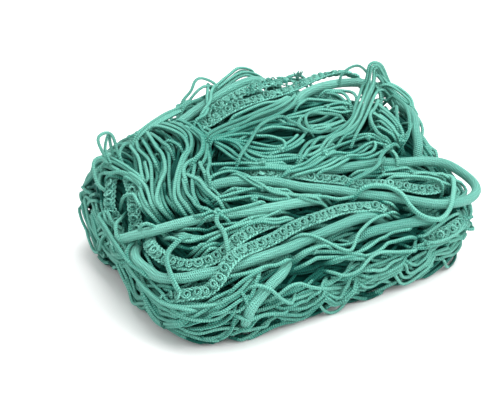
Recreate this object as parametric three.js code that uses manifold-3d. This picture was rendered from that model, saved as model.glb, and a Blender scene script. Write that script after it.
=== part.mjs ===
// A knotted cargo net for a trailer, heaped as it is put away, with its elastic rim and chained selvedge.
// Millimetres, +Z up. The origin is the middle of the flat patch that the heap rests on, +X along its front.
import * as THREE from 'three';
import { mergeVertices } from 'three/addons/utils/BufferGeometryUtils.js';
import Module from 'manifold-3d';

// Heap
const halfLength = 146;
const halfWidth = 112;
const cornerPower = 6;          // superellipse power of the plan outline
const shoulderDrop = 0.34;      // share of the height lost at the outline
const shoulderPower = 8;
const wallDraft = 7;            // how far the wall leans in towards the floor
const wallLayer = 4.5;          // how far the layers of net stand out on the wall
const wallWave = 4;             // how far a layer wanders up and down
const layerTuck = 0.6;          // how far the wall tucks in between layers, as a share of their reach
const lumpDepth = 3.5;          // hollows between the layers on top
const lumpLong = 0.21;          // turn of the hollows per mm, along and across
const lumpWide = 0.17;
const lumpSway = 1.4;           // how far the rows of hollows sway, and how fast
const lumpSwayTurn = 0.08;
const gridLong = 20;
const gridWide = 16;
const wallRows = 6;

// Twine, elastic and selvedge
const twineDiameter = 3.2;
const strandStep = 18;
const knotRadius = 3.1;
const knotLimit = 20;
const meshCell = 48;            // knot to knot along a gathered strand
const drawnIn = 0.3;            // how far neighbours draw together, as a share of their pitch
const valleyDepth = 2.6;
const sideFall = 0.5;           // share of a fold's rise lost at its sides
const elasticDiameter = 8;
const elasticSides = 8;
const elasticStep = 16;
const seatSides = 6;            // sides of the hollow that the cord lies in
const bandWidth = 9.6;
const bandThickness = 5;
const bandCrown = 0.62;         // share of the band's width that lies flat on top
const loopPitch = 7.6;          // one chain loop of the selvedge
const waist = 0.74;             // width between two chain loops
const clearance = 0.4;
const bedSkip = 3;              // half loops of the band to each step of its bed
const bedSlack = 0.5;
const archSides = 4;
const archStep = 11;
const footDepth = 5;            // how deep a standing arch is rooted
const foldDepth = 6;            // how deep a gathered fold is rooted

// Height of the heap at five places along its length, a row for each section from front to back
const sections = [
  { y: -112, left: 50, midLeft: 52, middle: 56, midRight: 60, right: 66 },
  { y: -85, left: 54, midLeft: 60, middle: 66, midRight: 70, right: 80 },
  { y: -55, left: 60, midLeft: 76, middle: 80, midRight: 82, right: 98 },
  { y: -20, left: 74, midLeft: 92, middle: 98, midRight: 98, right: 122 },
  { y: 20, left: 90, midLeft: 104, middle: 110, midRight: 111, right: 125 },
  { y: 55, left: 98, midLeft: 110, middle: 124, midRight: 117, right: 104 },
  { y: 85, left: 92, midLeft: 106, middle: 129, midRight: 114, right: 96 },
  { y: 112, left: 76, midLeft: 92, middle: 111, midRight: 102, right: 86 },
];

// Gathered folds of the net: strands laid side by side along a route in plan, over a raised fold
const folds = [
  { strands: 4, pitch: 6, rise: 5, route: [[-78, 54], [-86, 10], [-97, -20], [-90, -44]] },
  { strands: 3, pitch: 7, rise: 4, route: [[-96, 48], [-104, 7], [-108, -18], [-104, -38]] },
  { strands: 4, pitch: 6, rise: 6, route: [[-64, 60], [-67, 23], [-86, -14], [-78, -44]] },
  { strands: 3, pitch: 7, rise: 4, route: [[-117, 47], [-117, 8], [-119, -24]] },
  { strands: 3, pitch: 6, rise: 5, route: [[-50, 50], [-53, 19], [-78, -9], [-84, -36]] },
  { strands: 2, pitch: 7, rise: 3, route: [[-132, 51], [-138, 18], [-140, -2]] },
  { strands: 3, pitch: 6, rise: 5, route: [[-54, 23], [-38, -6], [-5, -20], [44, -22]] },
  { strands: 3, pitch: 6, rise: 6, route: [[-48, 17], [-21, -7], [17, -11], [69, -3]] },
  { strands: 2, pitch: 6, rise: 3, route: [[-45, 16], [-3, 16], [48, 18], [87, 8]] },
  { strands: 3, pitch: 6, rise: 5, route: [[-63, -6], [-24, -22], [11, -35], [64, -31]] },
  { strands: 2, pitch: 6, rise: 3, route: [[-45, 4], [0, 9], [40, 2], [78, 3]] },
  { strands: 4, pitch: 5, rise: 12, route: [[112, 27], [90, 7], [60, -12], [12, -18]] },
  { strands: 3, pitch: 6, rise: 5, route: [[106, -36], [99, -14], [106, 9]] },
  { strands: 3, pitch: 5, rise: 4, route: [[102, -40], [70, -34], [10, -37]] },
  { strands: 2, pitch: 7, rise: 3, route: [[-75, -36], [-40, -47], [-14, -52]] },
  { strands: 2, pitch: 7, rise: 3, route: [[-120, -38], [-102, -56], [-68, -65], [-20, -66]] },
  { strands: 2, pitch: 7, rise: 3, route: [[-72, 78], [-20, 84], [40, 86], [96, 80]] },
  { strands: 3, pitch: 8, rise: 4, route: [[-126, 72], [-90, 84], [-52, 92]] },
  { strands: 2, pitch: 8, rise: 3, route: [[34, 98], [76, 96], [120, 78]] },
  { strands: 2, pitch: 9, rise: 4, route: [[-122, 98], [-64, 108], [-6, 102]] },
  { strands: 2, pitch: 9, rise: 4, route: [[10, 108], [66, 110], [116, 100]] },
  { strands: 2, pitch: 7, rise: 3, route: [[124, -2], [134, -30], [132, -52]] },
  { strands: 2, pitch: 6, rise: 3, route: [[-20, -104], [30, -106], [72, -110]] },
];

// Loops of twine that stand up out of the heap, as arches in the vertical plane at the given turn
const arches = [
  { x: -131, y: 45, span: 15, rise: 25, turn: 0 },
  { x: -30, y: 76, span: 30, rise: 21, turn: -8 },
  { x: 14, y: 78, span: 48, rise: 19, turn: -4 },
  { x: 116, y: 64, span: 26, rise: 33, turn: -12 },
  { x: 116, y: 18, span: 26, rise: 38, turn: -20 },
  { x: 122, y: 12, span: 26, rise: 31, turn: -30 },
  { x: 130, y: -2, span: 28, rise: 25, turn: -48 },
];

// Folds that sag down the wall of the heap: compass angle of the middle, half the angle spanned, lowest drop
const swags = [
  { angle: -76, spread: 15, drop: 14 },
  { angle: -4, spread: 21, drop: 30 },
  { angle: 38, spread: 13, drop: 34 },
  { angle: 74, spread: 17, drop: 36 },
  { angle: 112, spread: 17, drop: 44 },
  { angle: 142, spread: 12, drop: 24 },
  { angle: 172, spread: 17, drop: 28 },
];
const swagStrands = 2;
const swagPitch = 9;
const swagRise = 4;
const swagTop = 6;              // drop of its two ends

// Elastic rim cord where it shows: x, y and lift of its middle above the skin of the heap
const elasticRuns = {
  elastic_back_left: [
    [-70, 44, -7], [-64, 49, 3], [-52, 55, 3.4], [-38, 59, 3.4], [-22, 62, 4], [-7, 64, 5.4],
    [6, 66, 6.4], [19, 67, 7], [30, 67, 3], [40, 67, -7],
  ],
  elastic_back: [
    [-60, 18, -7], [-52, 22, 2], [-33, 26, 3], [8, 30, 3.3], [40, 35, 3.4], [54, 42, 4.9], [73, 46, 7.5],
    [97, 43, 11], [113, 35, 12.3], [123, 27, 11], [129, 17, 6.8], [132, 7, 4.5], [131, -7, 3.6],
    [126, -22, 3.2], [118, -35, 3], [113, -46, 2.5], [110, -52, -2], [108, -58, -8],
  ],
  elastic_right_loop: [
    [18, -34, -9], [34, -42, 1], [46, -44, 3], [68, -47, 3], [90, -56, 3], [113, -62.5, 2.5], [129, -68, 5],
    [136, -78, 9.5], [132, -88, 12.5], [124, -94, 12], [113, -96.5, 9.5], [96, -95, 5], [79, -89, 3], [58, -79, 3],
    [40, -71, 3], [22, -62, 3], [-7, -50, 3], [-25, -40, 3], [-44, -33, 3], [-63, -27, 3], [-76, -24, 0],
    [-86, -22, -8],
  ],
  elastic_middle: [
    [-166, 24, -8], [-160, 15, 2], [-151, 3, 4], [-145, -6, 4], [-142, -12, 4], [-135, -21, 4],
    [-123, -31, 3], [-106, -40, 3], [-88, -47, 3], [-68, -54, 3], [-46, -58, 3], [-18, -61, 3],
    [-4, -62, 1], [12, -60, -9],
  ],
  elastic_front: [
    [-140, -18, -8], [-142, -27, 0], [-142, -36, 4], [-140, -50, 4], [-136, -65, 4], [-126, -77, 4],
    [-112, -83, 3.6], [-97, -87, 2.6], [-81, -88, 3], [-46, -89, 3], [-15, -88, 3], [21, -87, 3],
    [33, -88, 1], [43, -90, -5], [52, -92, -11],
  ],
  elastic_front_right: [
    [10, -97, -9], [18, -97, -1], [27, -97, 3], [45, -98, 3], [64, -99.5, 3], [76, -100.5, 1], [84, -101.5, -4],
    [92, -103, -11],
  ],
  elastic_front_low: [
    [-42, -96, -9], [-52, -100, 2], [-60, -102, 4], [-70, -105, 4], [-80, -108, 4], [-91, -111, 4],
    [-100, -117, 3], [-108, -126, -2], [-114, -134, -9],
  ],
};

// Chained selvedge where it shows, in the same columns
const bandStretches = {
  band_back: [
    [-78, 32, -8], [-63, 37, 2.5], [-40, 39, 2.6], [-24, 43, 3.2], [2, 46, 3.5], [31, 49, 4.2],
    [48, 52, 5.8], [64, 56, 8.7], [79, 59, 12.3], [92, 59, 16.6], [103, 57, 19.8], [112, 52, 20],
    [120, 48, 14], [126, 45, 5], [130, 43, -7],
  ],
  band_back_upper: [
    [-41, 53, -9], [-34, 52, -2], [-28, 51, 4], [-19, 52, 5.6], [-8, 54, 6.4], [6, 56.5, 7.4],
    [18, 57.5, 8], [30, 59, 8.4], [40, 61, 3], [47, 62, -8],
  ],
  band_right: [
    [-48, -18, -9], [-33, -28, 1], [-22, -31, 2], [-6, -37, 2], [12, -46, 2], [26, -51, 2], [38, -58, 2],
    [53, -63, 2], [67, -69, 2], [79, -76, 2], [90, -82, 2], [102, -84, 2], [114, -80, 1], [128, -72, -9],
  ],
  band_front: [
    [-142, -72, -6], [-134, -84, 2], [-126, -89, 2], [-116, -93, 2], [-107, -92, 6], [-97, -87, 11],
    [-86, -83, 10], [-76, -81, 6], [-67, -80, 3], [-49, -79, 2], [-36, -77, 2], [-22, -76, 2], [-5, -76, 2],
    [13, -76, 2], [31, -79, 2], [46, -83, 1], [62, -88, -9],
  ],
  band_middle: [
    [-132, -22, -9], [-132, -36, 2], [-130, -48, 2], [-125, -61, 2], [-118, -70, 2], [-106, -75, 2],
    [-93, -75, 2], [-75, -70, 2], [-56, -68, 2], [-44, -67, -1], [-34, -67, -8],
  ],
  band_left: [[-120, 38, -8], [-121, 23, 2], [-124, 10, 2], [-129, -1, 2], [-137, -14, -8]],
  band_left_outer: [[-126, 46, -8], [-131, 36, 2], [-136, 28, 2], [-140, 20, 2], [-143, 12, -8]],
  band_corner: [
    [74, -109, -9], [84, -109.5, 0], [94, -109, 2], [104, -107.5, 2], [116, -104.5, 2], [128, -98, -8],
  ],
};

const wasm = await Module();
wasm.setup();

const clamp = THREE.MathUtils.clamp;

// Cubic through four values, even spacing
function cubic(a, b, c, d, t) {
  const slope = (c - a) / 2;
  const nextSlope = (d - b) / 2;
  const bend = b - c;
  return ((2 * bend + slope + nextSlope) * t - (3 * bend + 2 * slope + nextSlope)) * t * t + slope * t + b;
}

function cubicThrough(values, at) {
  const last = values.length - 1;
  const k = clamp(Math.floor(at), 0, last - 1);
  const value = (i) => values[clamp(i, 0, last)];
  return cubic(value(k - 1), value(k), value(k + 1), value(k + 2), clamp(at - k, 0, 1));
}

function rowAt(y) {
  const last = sections.length - 1;
  const k = clamp(sections.findIndex((row) => row.y > y) - 1, 0, last - 1);
  if (y >= sections[last].y) return last;
  return k + (y - sections[k].y) / (sections[k + 1].y - sections[k].y);
}

function outlineNorm(x, y) {
  const along = Math.abs(x / halfLength) ** cornerPower;
  const across = Math.abs(y / halfWidth) ** cornerPower;
  return (along + across) ** (1 / cornerPower);
}

function heapHeight(x, y) {
  const at = rowAt(y);
  const along = clamp((x / halfLength + 1) * 2, 0, 4);
  const column = (name) => cubicThrough(sections.map((row) => row[name]), at);
  const plain = cubicThrough(['left', 'midLeft', 'middle', 'midRight', 'right'].map(column), along);
  const norm = Math.min(outlineNorm(x, y), 1);
  return plain * (1 - shoulderDrop * norm ** shoulderPower);
}

// Point of the heap's skin: past the outline the plan carries on down the wall
function skinPoint(x, y) {
  const norm = outlineNorm(x, y);
  if (norm <= 1) return new THREE.Vector3(x, y, heapHeight(x, y));
  const edge = new THREE.Vector3(x / norm, y / norm, 0);
  const drop = Math.hypot(x, y) * (1 - 1 / norm);
  const top = heapHeight(edge.x, edge.y);
  const inward = 1 - (wallDraft / halfWidth) * clamp(drop / top, 0, 1);
  return new THREE.Vector3(edge.x * inward, edge.y * inward, Math.max(top - drop, 0));
}

function skinNormal(x, y) {
  const reach = 4;
  const along = skinPoint(x + reach, y).sub(skinPoint(x - reach, y));
  const across = skinPoint(x, y + reach).sub(skinPoint(x, y - reach));
  return along.cross(across).normalize();
}

function closedMesh(positions, triangles) {
  const geometry = new THREE.BufferGeometry();
  geometry.setAttribute('position', new THREE.Float32BufferAttribute(positions, 3));
  geometry.setIndex(triangles);
  return geometry;
}

// Tube with flat ends: ring(k) gives the section there as [side, up] pairs, anticlockwise seen from its start
function sweep(path, ups, ring) {
  const positions = [];
  const triangles = [];
  const last = path.length - 1;
  const sides = ring(0).length;
  path.forEach((point, k) => {
    const ahead = path[Math.min(k + 1, last)].clone().sub(path[Math.max(k - 1, 0)]).normalize();
    const up = ups[k].clone().addScaledVector(ahead, -ups[k].dot(ahead)).normalize();
    const side = ahead.clone().cross(up);
    for (const [a, b] of ring(k)) {
      const corner = point.clone().addScaledVector(side, a).addScaledVector(up, b);
      positions.push(corner.x, corner.y, corner.z);
    }
  });
  for (let k = 0; k < last; k++) {
    for (let i = 0; i < sides; i++) {
      const here = k * sides + i;
      const next = k * sides + (i + 1) % sides;
      triangles.push(here, here + sides, next + sides, here, next + sides, next);
    }
  }
  const end = last * sides;
  for (let i = 1; i < sides - 1; i++) triangles.push(0, i, i + 1, end, end + i + 1, end + i);
  return closedMesh(positions, triangles);
}

function roundSection(radius, sides) {
  return Array.from({ length: sides }, (_, i) => {
    const angle = (2 * Math.PI * i) / sides;
    return [radius * Math.cos(angle), radius * Math.sin(angle)];
  });
}

function toSolid(geometry) {
  const bare = geometry.clone();
  bare.deleteAttribute('normal');
  bare.deleteAttribute('uv');
  const merged = mergeVertices(bare, 1e-5);
  return new wasm.Manifold(new wasm.Mesh({
    numProp: 3,
    vertProperties: Float32Array.from(merged.attributes.position.array),
    triVerts: Uint32Array.from(merged.index.array),
  }));
}

function toGeometry(solid) {
  const mesh = solid.getMesh();
  const geometry = closedMesh(mesh.vertProperties, Array.from(mesh.triVerts));
  geometry.computeVertexNormals();
  return geometry;
}

// Plain heap: a domed top on a plan grid, a lumpy wall and a flat foot
function heapBody() {
  const positions = [];
  const triangles = [];
  const add = (p) => positions.push(p.x, p.y, p.z) / 3 - 1;
  const top = [];
  for (let j = 0; j <= gridWide; j++) {
    for (let i = 0; i <= gridLong; i++) {
      const s = (2 * i) / gridLong - 1;
      const t = (2 * j) / gridWide - 1;
      const reach = Math.max(Math.abs(s), Math.abs(t));
      const norm = outlineNorm(s * halfLength, t * halfWidth);
      const scale = norm > 0 ? reach / norm : 0;
      const point = skinPoint(s * scale * halfLength, t * scale * halfWidth);
      const sway = lumpSway * Math.sin(lumpSwayTurn * point.y);
      const hollow = Math.sin(lumpLong * point.x + sway) * Math.sin(lumpWide * point.y);
      point.z -= lumpDepth * hollow * hollow;
      top.push(add(point));
    }
  }
  const at = (i, j) => top[j * (gridLong + 1) + i];
  for (let j = 0; j < gridWide; j++) {
    for (let i = 0; i < gridLong; i++) {
      triangles.push(at(i, j), at(i + 1, j), at(i + 1, j + 1), at(i, j), at(i + 1, j + 1), at(i, j + 1));
    }
  }
  let rim = [];
  for (let i = 0; i < gridLong; i++) rim.push(at(i, 0));
  for (let j = 0; j < gridWide; j++) rim.push(at(gridLong, j));
  for (let i = gridLong; i > 0; i--) rim.push(at(i, gridWide));
  for (let j = gridWide; j > 0; j--) rim.push(at(0, j));
  const edge = rim.map((v) => new THREE.Vector3().fromArray(positions, v * 3));
  for (let row = 1; row <= wallRows; row++) {
    const share = row / wallRows;
    const next = edge.map((p, k) => {
      const free = row < wallRows ? 1 : 0;
      const reach = wallLayer * (0.7 + 0.3 * Math.sin(0.5 * k + 1.7 * row));
      const layer = free * (row % 2 ? 1 : -layerTuck) * reach;
      const wave = free * wallWave * Math.sin(0.37 * k + row) * Math.sin(Math.PI * share);
      const inward = 1 + (layer - wallDraft * share * share) / halfWidth;
      return add(new THREE.Vector3(p.x * inward, p.y * inward, p.z * (1 - share) + wave));
    });
    rim.forEach((v, k) => {
      const after = (k + 1) % rim.length;
      triangles.push(v, next[k], next[after], v, next[after], rim[after]);
    });
    rim = next;
  }
  const foot = add(new THREE.Vector3());
  rim.forEach((v, k) => triangles.push(foot, rim[(k + 1) % rim.length], v));
  return toSolid(closedMesh(positions, triangles));
}

// Route in plan, with a lift above the skin as its third column, sampled evenly and laid on the heap
function laidRoute(route, step) {
  const curve = new THREE.CatmullRomCurve3(route.map(([x, y, lift = 0]) => new THREE.Vector3(x, y, lift)));
  const length = curve.getLength();
  const places = curve.getSpacedPoints(Math.ceil(length / step));
  const ups = places.map((p) => skinNormal(p.x, p.y));
  const points = places.map((p, k) => skinPoint(p.x, p.y).addScaledVector(ups[k], p.z));
  return { points, ups, length };
}

// One gathered fold: strands side by side as ridges, drawn together and parted by turns, with knots between
function gatheredFold({ strands, pitch, rise, route }, knots) {
  const { points, ups, length } = laidRoute(route, strandStep);
  const steps = points.length - 1;
  const cells = Math.max(Math.round(length / meshCell), 1);
  const half = 0.5 * strands * pitch;
  const offsetAt = (s, k) => {
    const draw = (s % 2 ? -1 : 1) * Math.cos((Math.PI * cells * k) / steps);
    return pitch * (s - (strands - 1) / 2 + drawnIn * draw);
  };
  const ridgeAt = (offset, k) => {
    const ending = Math.min(k, steps - k, 2) / 2;
    const crown = 1 - sideFall * (offset / half) ** 2;
    return (rise * crown + twineDiameter) * ending - twineDiameter * (1 - ending);
  };
  const ring = (k) => {
    const skirt = half + 0.3 * pitch;
    const section = [[skirt, -0.5 * foldDepth]];
    for (let s = strands - 1; s >= 0; s--) {
      const offset = offsetAt(s, k);
      section.push([offset, ridgeAt(offset, k)]);
      if (s === 0) break;
      const dip = 0.5 * (offset + offsetAt(s - 1, k));
      section.push([dip, ridgeAt(dip, k) - valleyDepth]);
    }
    section.push([-skirt, -0.5 * foldDepth], [0, -foldDepth]);
    return section;
  };
  for (let s = 0; s < strands - 1; s++) {
    const k = Math.round(((s % 2 ? 2 : 1) / (cells + 1)) * steps);
    const side = points[Math.min(k + 1, steps)].clone().sub(points[k - 1]).cross(ups[k]).normalize();
    const offset = 0.5 * (offsetAt(s, k) + offsetAt(s + 1, k));
    knots.push(points[k].clone().addScaledVector(side, offset).addScaledVector(ups[k], ridgeAt(offset, k)));
  }
  return toSolid(sweep(points, ups, ring));
}

function archStrand({ x, y, span, rise, turn }) {
  const angle = THREE.MathUtils.degToRad(turn);
  const foot = heapHeight(x, y) - footDepth;
  const steps = Math.ceil((span + 2 * rise) / archStep);
  const points = [];
  for (let k = 0; k <= steps; k++) {
    const bow = Math.PI * (k / steps);
    const out = -0.5 * span * Math.cos(bow);
    const height = foot + (rise + footDepth) * Math.sin(bow);
    points.push(new THREE.Vector3(x + out * Math.cos(angle), y + out * Math.sin(angle), height));
  }
  const facing = new THREE.Vector3(-Math.sin(angle), Math.cos(angle), 0);
  const section = roundSection(0.5 * twineDiameter, archSides);
  return toSolid(sweep(points, points.map(() => facing), () => section));
}

function swagFold({ angle, spread, drop }, knots) {
  const place = (turn, down) => {
    const radians = THREE.MathUtils.degToRad(turn);
    const plan = new THREE.Vector2(Math.cos(radians), Math.sin(radians));
    plan.divideScalar(outlineNorm(plan.x, plan.y));
    return plan.setLength(plan.length() + down).toArray();
  };
  const route = [place(angle - spread, swagTop), place(angle, drop), place(angle + spread, swagTop)];
  return gatheredFold({ strands: swagStrands, pitch: swagPitch, rise: swagRise, route }, knots);
}

function lengthened(points, by) {
  const longer = points.map((p) => p.clone());
  const last = points.length - 1;
  longer[0].addScaledVector(points[0].clone().sub(points[1]).normalize(), by);
  longer[last].addScaledVector(points[last].clone().sub(points[last - 1]).normalize(), by);
  return longer;
}

function elasticRun(route) {
  const { points } = laidRoute(route, elasticStep);
  const ups = points.map(() => new THREE.Vector3(0, 0, 1));
  const radius = elasticDiameter / 2;
  const seatRadius = (radius + clearance) / Math.cos(Math.PI / seatSides);
  return {
    body: sweep(points, ups, () => roundSection(radius, elasticSides)),
    seat: sweep(lengthened(points, clearance), ups, () => roundSection(seatRadius, seatSides)),
  };
}

function bandStretch(route) {
  const { points, ups } = laidRoute(route, loopPitch / 2);
  const section = (k) => {
    const open = k % 2 ? waist : 1;
    const wide = 0.5 * bandWidth * open;
    const high = 0.5 * bandThickness * open;
    const crown = bandCrown * wide;
    return [[wide, 0], [crown, high], [-crown, high], [-wide, 0], [-crown, -high], [crown, -high]];
  };
  const bedWide = 0.5 * bandWidth + clearance;
  const bedHigh = 0.5 * bandThickness + clearance + bedSlack;
  const bedSection = [[bedWide, bedHigh], [-bedWide, bedHigh], [-bedWide, -bedHigh], [bedWide, -bedHigh]];
  const inBed = (_, k) => k % bedSkip === 0 || k === points.length - 1;
  return {
    body: sweep(points, ups, section),
    seat: sweep(lengthened(points, clearance).filter(inBed), ups.filter(inBed), () => bedSection),
  };
}

function largestBody(solid) {
  return solid.decompose().reduce((a, b) => (b.volume() > a.volume() ? b : a));
}

const heapGroup = new THREE.Group();

function addPiece(name, geometry, material) {
  const mesh = new THREE.Mesh(geometry, material);
  mesh.name = name;
  heapGroup.add(mesh);
}

const seats = [];

function addLaidPieces(routes, make, finish) {
  for (const [name, route] of Object.entries(routes)) {
    const { body, seat } = make(route);
    seats.push(toSolid(seat));
    addPiece(name, toGeometry(toSolid(body)), new THREE.MeshStandardMaterial(finish));
  }
}

addLaidPieces(elasticRuns, elasticRun, { color: 0x4fae94, roughness: 0.55, metalness: 0 });
addLaidPieces(bandStretches, bandStretch, { color: 0x46a58b, roughness: 0.75, metalness: 0 });

const knotPlaces = [];
const net = [heapBody()];
for (const fold of folds) net.push(gatheredFold(fold, knotPlaces));
for (const arch of arches) net.push(archStrand(arch));
for (const swag of swags) net.push(swagFold(swag, knotPlaces));
for (const place of knotPlaces.slice(0, knotLimit)) {
  net.push(toSolid(new THREE.OctahedronGeometry(knotRadius)).translate(place.toArray()));
}
const netSolid = largestBody(wasm.Manifold.union(net).subtract(wasm.Manifold.union(seats)));
addPiece('net_heap', toGeometry(netSolid), new THREE.MeshStandardMaterial({
  color: 0x3f9c83, roughness: 0.8, metalness: 0,
}));

export default heapGroup;
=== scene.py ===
# Trailer net heaped as it is put away: knotted twine, an elastic rim cord and a chained selvedge
import math

import bpy
import numpy as np
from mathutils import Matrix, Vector


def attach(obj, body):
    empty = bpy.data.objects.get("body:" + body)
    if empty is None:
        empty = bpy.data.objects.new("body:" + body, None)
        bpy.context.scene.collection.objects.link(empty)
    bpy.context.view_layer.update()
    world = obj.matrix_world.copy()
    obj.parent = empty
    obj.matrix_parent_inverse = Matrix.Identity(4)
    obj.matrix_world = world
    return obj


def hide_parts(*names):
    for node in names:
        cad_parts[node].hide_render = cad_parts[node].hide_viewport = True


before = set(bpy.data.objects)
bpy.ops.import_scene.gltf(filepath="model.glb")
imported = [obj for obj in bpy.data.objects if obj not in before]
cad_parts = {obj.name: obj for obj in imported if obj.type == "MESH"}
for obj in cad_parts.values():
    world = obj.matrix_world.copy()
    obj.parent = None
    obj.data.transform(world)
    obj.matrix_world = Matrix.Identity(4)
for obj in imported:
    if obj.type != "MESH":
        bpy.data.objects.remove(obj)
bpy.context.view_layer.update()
bpy.ops.object.select_all(action="DESELECT")
scene = bpy.context.scene
mm = 0.001                                             # routes below are in millimetres
luck = np.random.default_rng(11)

# Camera, light and floor

view = {
    "place": (-0.3865, -0.6088, 0.4076), "forward": (0.4578, 0.7699, -0.4446),
    "lens": 68.1, "sensor": 36, "farthest": 30,
}
lamps = {
    "top": {"place": (0.25, 0.05, 1.28), "size": 1.4, "power": 26},
    "left": {"place": (-1.0, -0.7, 0.8), "size": 1.0, "power": 5.5},
    "right": {"place": (0.8, -1.0, 0.8), "size": 1.0, "power": 13},
}
lampAim = (0, 0, 0.06)
sky = {"colour": (1.0, 1.0, 1.0, 1), "strength": 0.56}
floorLook = {"size": 8, "colour": (0.95, 0.95, 0.95, 1), "roughness": 0.8}

bpy.ops.object.camera_add(location=view["place"])
camera = bpy.context.object
camera.rotation_euler = Vector(view["forward"]).to_track_quat("-Z", "Y").to_euler()
camera.data.lens = view["lens"]
camera.data.sensor_width = view["sensor"]
camera.data.sensor_fit = "HORIZONTAL"
camera.data.clip_end = view["farthest"]
scene.camera = camera
scene.view_settings.view_transform = "Standard"

for name, lamp in lamps.items():
    bpy.ops.object.light_add(type="AREA", location=lamp["place"])
    light = bpy.context.object
    light.name = "lamp_" + name
    light.data.size = lamp["size"]
    light.data.energy = lamp["power"]
    light.rotation_euler = (Vector(lampAim) - light.location).to_track_quat("-Z", "Y").to_euler()

scene.world = bpy.data.worlds.new("studio")
scene.world.use_nodes = True
backdrop = scene.world.node_tree.nodes["Background"]
backdrop.inputs["Color"].default_value = sky["colour"]
backdrop.inputs["Strength"].default_value = sky["strength"]


# Shader maths written as sums of sockets

class Wire:
    def __init__(self, finish, socket):
        self.finish = finish
        self.socket = socket

    def maths(self, operation, *values):
        sockets = {k: value for k, value in enumerate(values)}
        return self.finish.node("ShaderNodeMath", {"operation": operation}, sockets)

    def __add__(self, other):
        return self.maths("ADD", self, other)

    def __radd__(self, other):
        return self.maths("ADD", other, self)

    def __sub__(self, other):
        return self.maths("SUBTRACT", self, other)

    def __rsub__(self, other):
        return self.maths("SUBTRACT", other, self)

    def __mul__(self, other):
        return self.maths("MULTIPLY", self, other)

    def __rmul__(self, other):
        return self.maths("MULTIPLY", other, self)

    def sine(self):
        return self.maths("SINE", self)

    def clamped(self):
        return self.finish.node("ShaderNodeClamp", {}, {0: self})


class Finish:
    def __init__(self, name, **plain):
        self.material = bpy.data.materials.new(name)
        self.material.use_nodes = True
        self.tree = self.material.node_tree
        self.shader = self.tree.nodes["Principled BSDF"]
        for socket, value in plain.items():
            self.shader.inputs[socket.replace("_", " ")].default_value = value

    def node(self, kind, settings, sockets, out=0):
        made = self.tree.nodes.new(kind)
        for key, value in settings.items():
            setattr(made, key, value)
        for key, value in sockets.items():
            if isinstance(value, Wire):
                self.tree.links.new(value.socket, made.inputs[key])
            else:
                made.inputs[key].default_value = value
        return Wire(self, made.outputs[out])

    def feed(self, socket, wire):
        self.tree.links.new(wire.socket, self.shader.inputs[socket])

    def blendOf(self, share, first, second):           # two colours mixed by a share
        return self.node("ShaderNodeMix", {"data_type": "RGBA"}, {0: share, 6: first, 7: second}, out=2)

    def alongAndAround(self):                          # the tube's own UV: millimetres along, turns around
        place = self.node("ShaderNodeUVMap", {"uv_map": "lay"}, {})
        along = self.node("ShaderNodeSeparateXYZ", {}, {0: place}, out=0)
        around = self.node("ShaderNodeSeparateXYZ", {}, {0: place}, out=1)
        return along * (1 / mm), around

    def shadeOfStrand(self):
        return self.node("ShaderNodeAttribute", {"attribute_name": "shade"}, {}, out=2)

    def speckle(self, scale, detail=2.0):
        place = self.node("ShaderNodeTexCoord", {}, {}, out=3)
        sockets = {"Vector": place, "Scale": scale, "Detail": detail}
        return self.node("ShaderNodeTexNoise", {}, sockets, out=0)

    def relief(self, height, distance):
        sockets = {"Strength": 1.0, "Distance": distance, "Height": height}
        self.feed("Normal", self.node("ShaderNodeBump", {}, sockets))


fullTurn = 2 * math.pi

twineLook = {
    "paintedShadeColour": (0.0003, 0.098, 0.074, 1), "deep": (0.0005, 0.180, 0.137, 1), "light": (0.178, 0.515, 0.416, 1),
    "stitch": 1.8, "columns": 3, "slant": 1.3,         # millimetres a stitch, columns of them around the twine
    "ground": 0.18, "strandShare": 0.60, "columnShare": 0.36, "stitchShare": 0.30,
    "fibreScale": 900.0, "fibreShare": 0.9, "patchScale": 24.0, "patchShare": 0.7, "paintedShadeRamp": 1.6,
    "roughness": 0.64, "stitchPolish": 0.08, "fibreRough": 0.2,
    "gloss": 0.22, "sheen": 0.02, "sheenRough": 0.45,
    "relief": 0.0010, "columnRelief": 0.5, "stitchRelief": 0.35, "fibreRelief": 0.4,
}


def twineFinish(name, look):
    finish = Finish(name, Sheen_Weight=look["sheen"], Sheen_Roughness=look["sheenRough"],
                    Specular_IOR_Level=look["gloss"])
    along, around = finish.alongAndAround()
    groove = (around * (math.pi * look["columns"])).sine()
    column = groove * groove                           # nought in the groove between two columns of stitches
    slant = (around * (fullTurn * look["columns"])).sine() * look["slant"]
    stitch = (along * (fullTurn / look["stitch"]) + slant).sine()
    fibre = finish.speckle(look["fibreScale"])
    patch = finish.speckle(look["patchScale"])
    strand = finish.shadeOfStrand()
    # the colour follows the relief, darker in the grooves between columns and stitches: partly the braid's own
    # pattern, partly painted shade in the grooves
    share = strand * look["strandShare"] + column * look["columnShare"] + stitch * look["stitchShare"]
    share = share + look["ground"] + (fibre - 0.5) * look["fibreShare"] + (patch - 0.5) * look["patchShare"]
    colour = finish.blendOf(share.clamped(), look["deep"], look["light"])
    paintedShadeRamp = (strand * look["paintedShadeRamp"] + 1.0).clamped()   # painted shade: strands far under the others go dark
    finish.feed("Base Color", finish.blendOf(paintedShadeRamp, look["paintedShadeColour"], colour))
    rough = look["roughness"] - stitch * look["stitchPolish"] + (fibre - 0.5) * look["fibreRough"]
    finish.feed("Roughness", rough)
    height = column * look["columnRelief"] + stitch * look["stitchRelief"] + fibre * look["fibreRelief"]
    finish.relief(height, look["relief"])
    return finish.material


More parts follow.
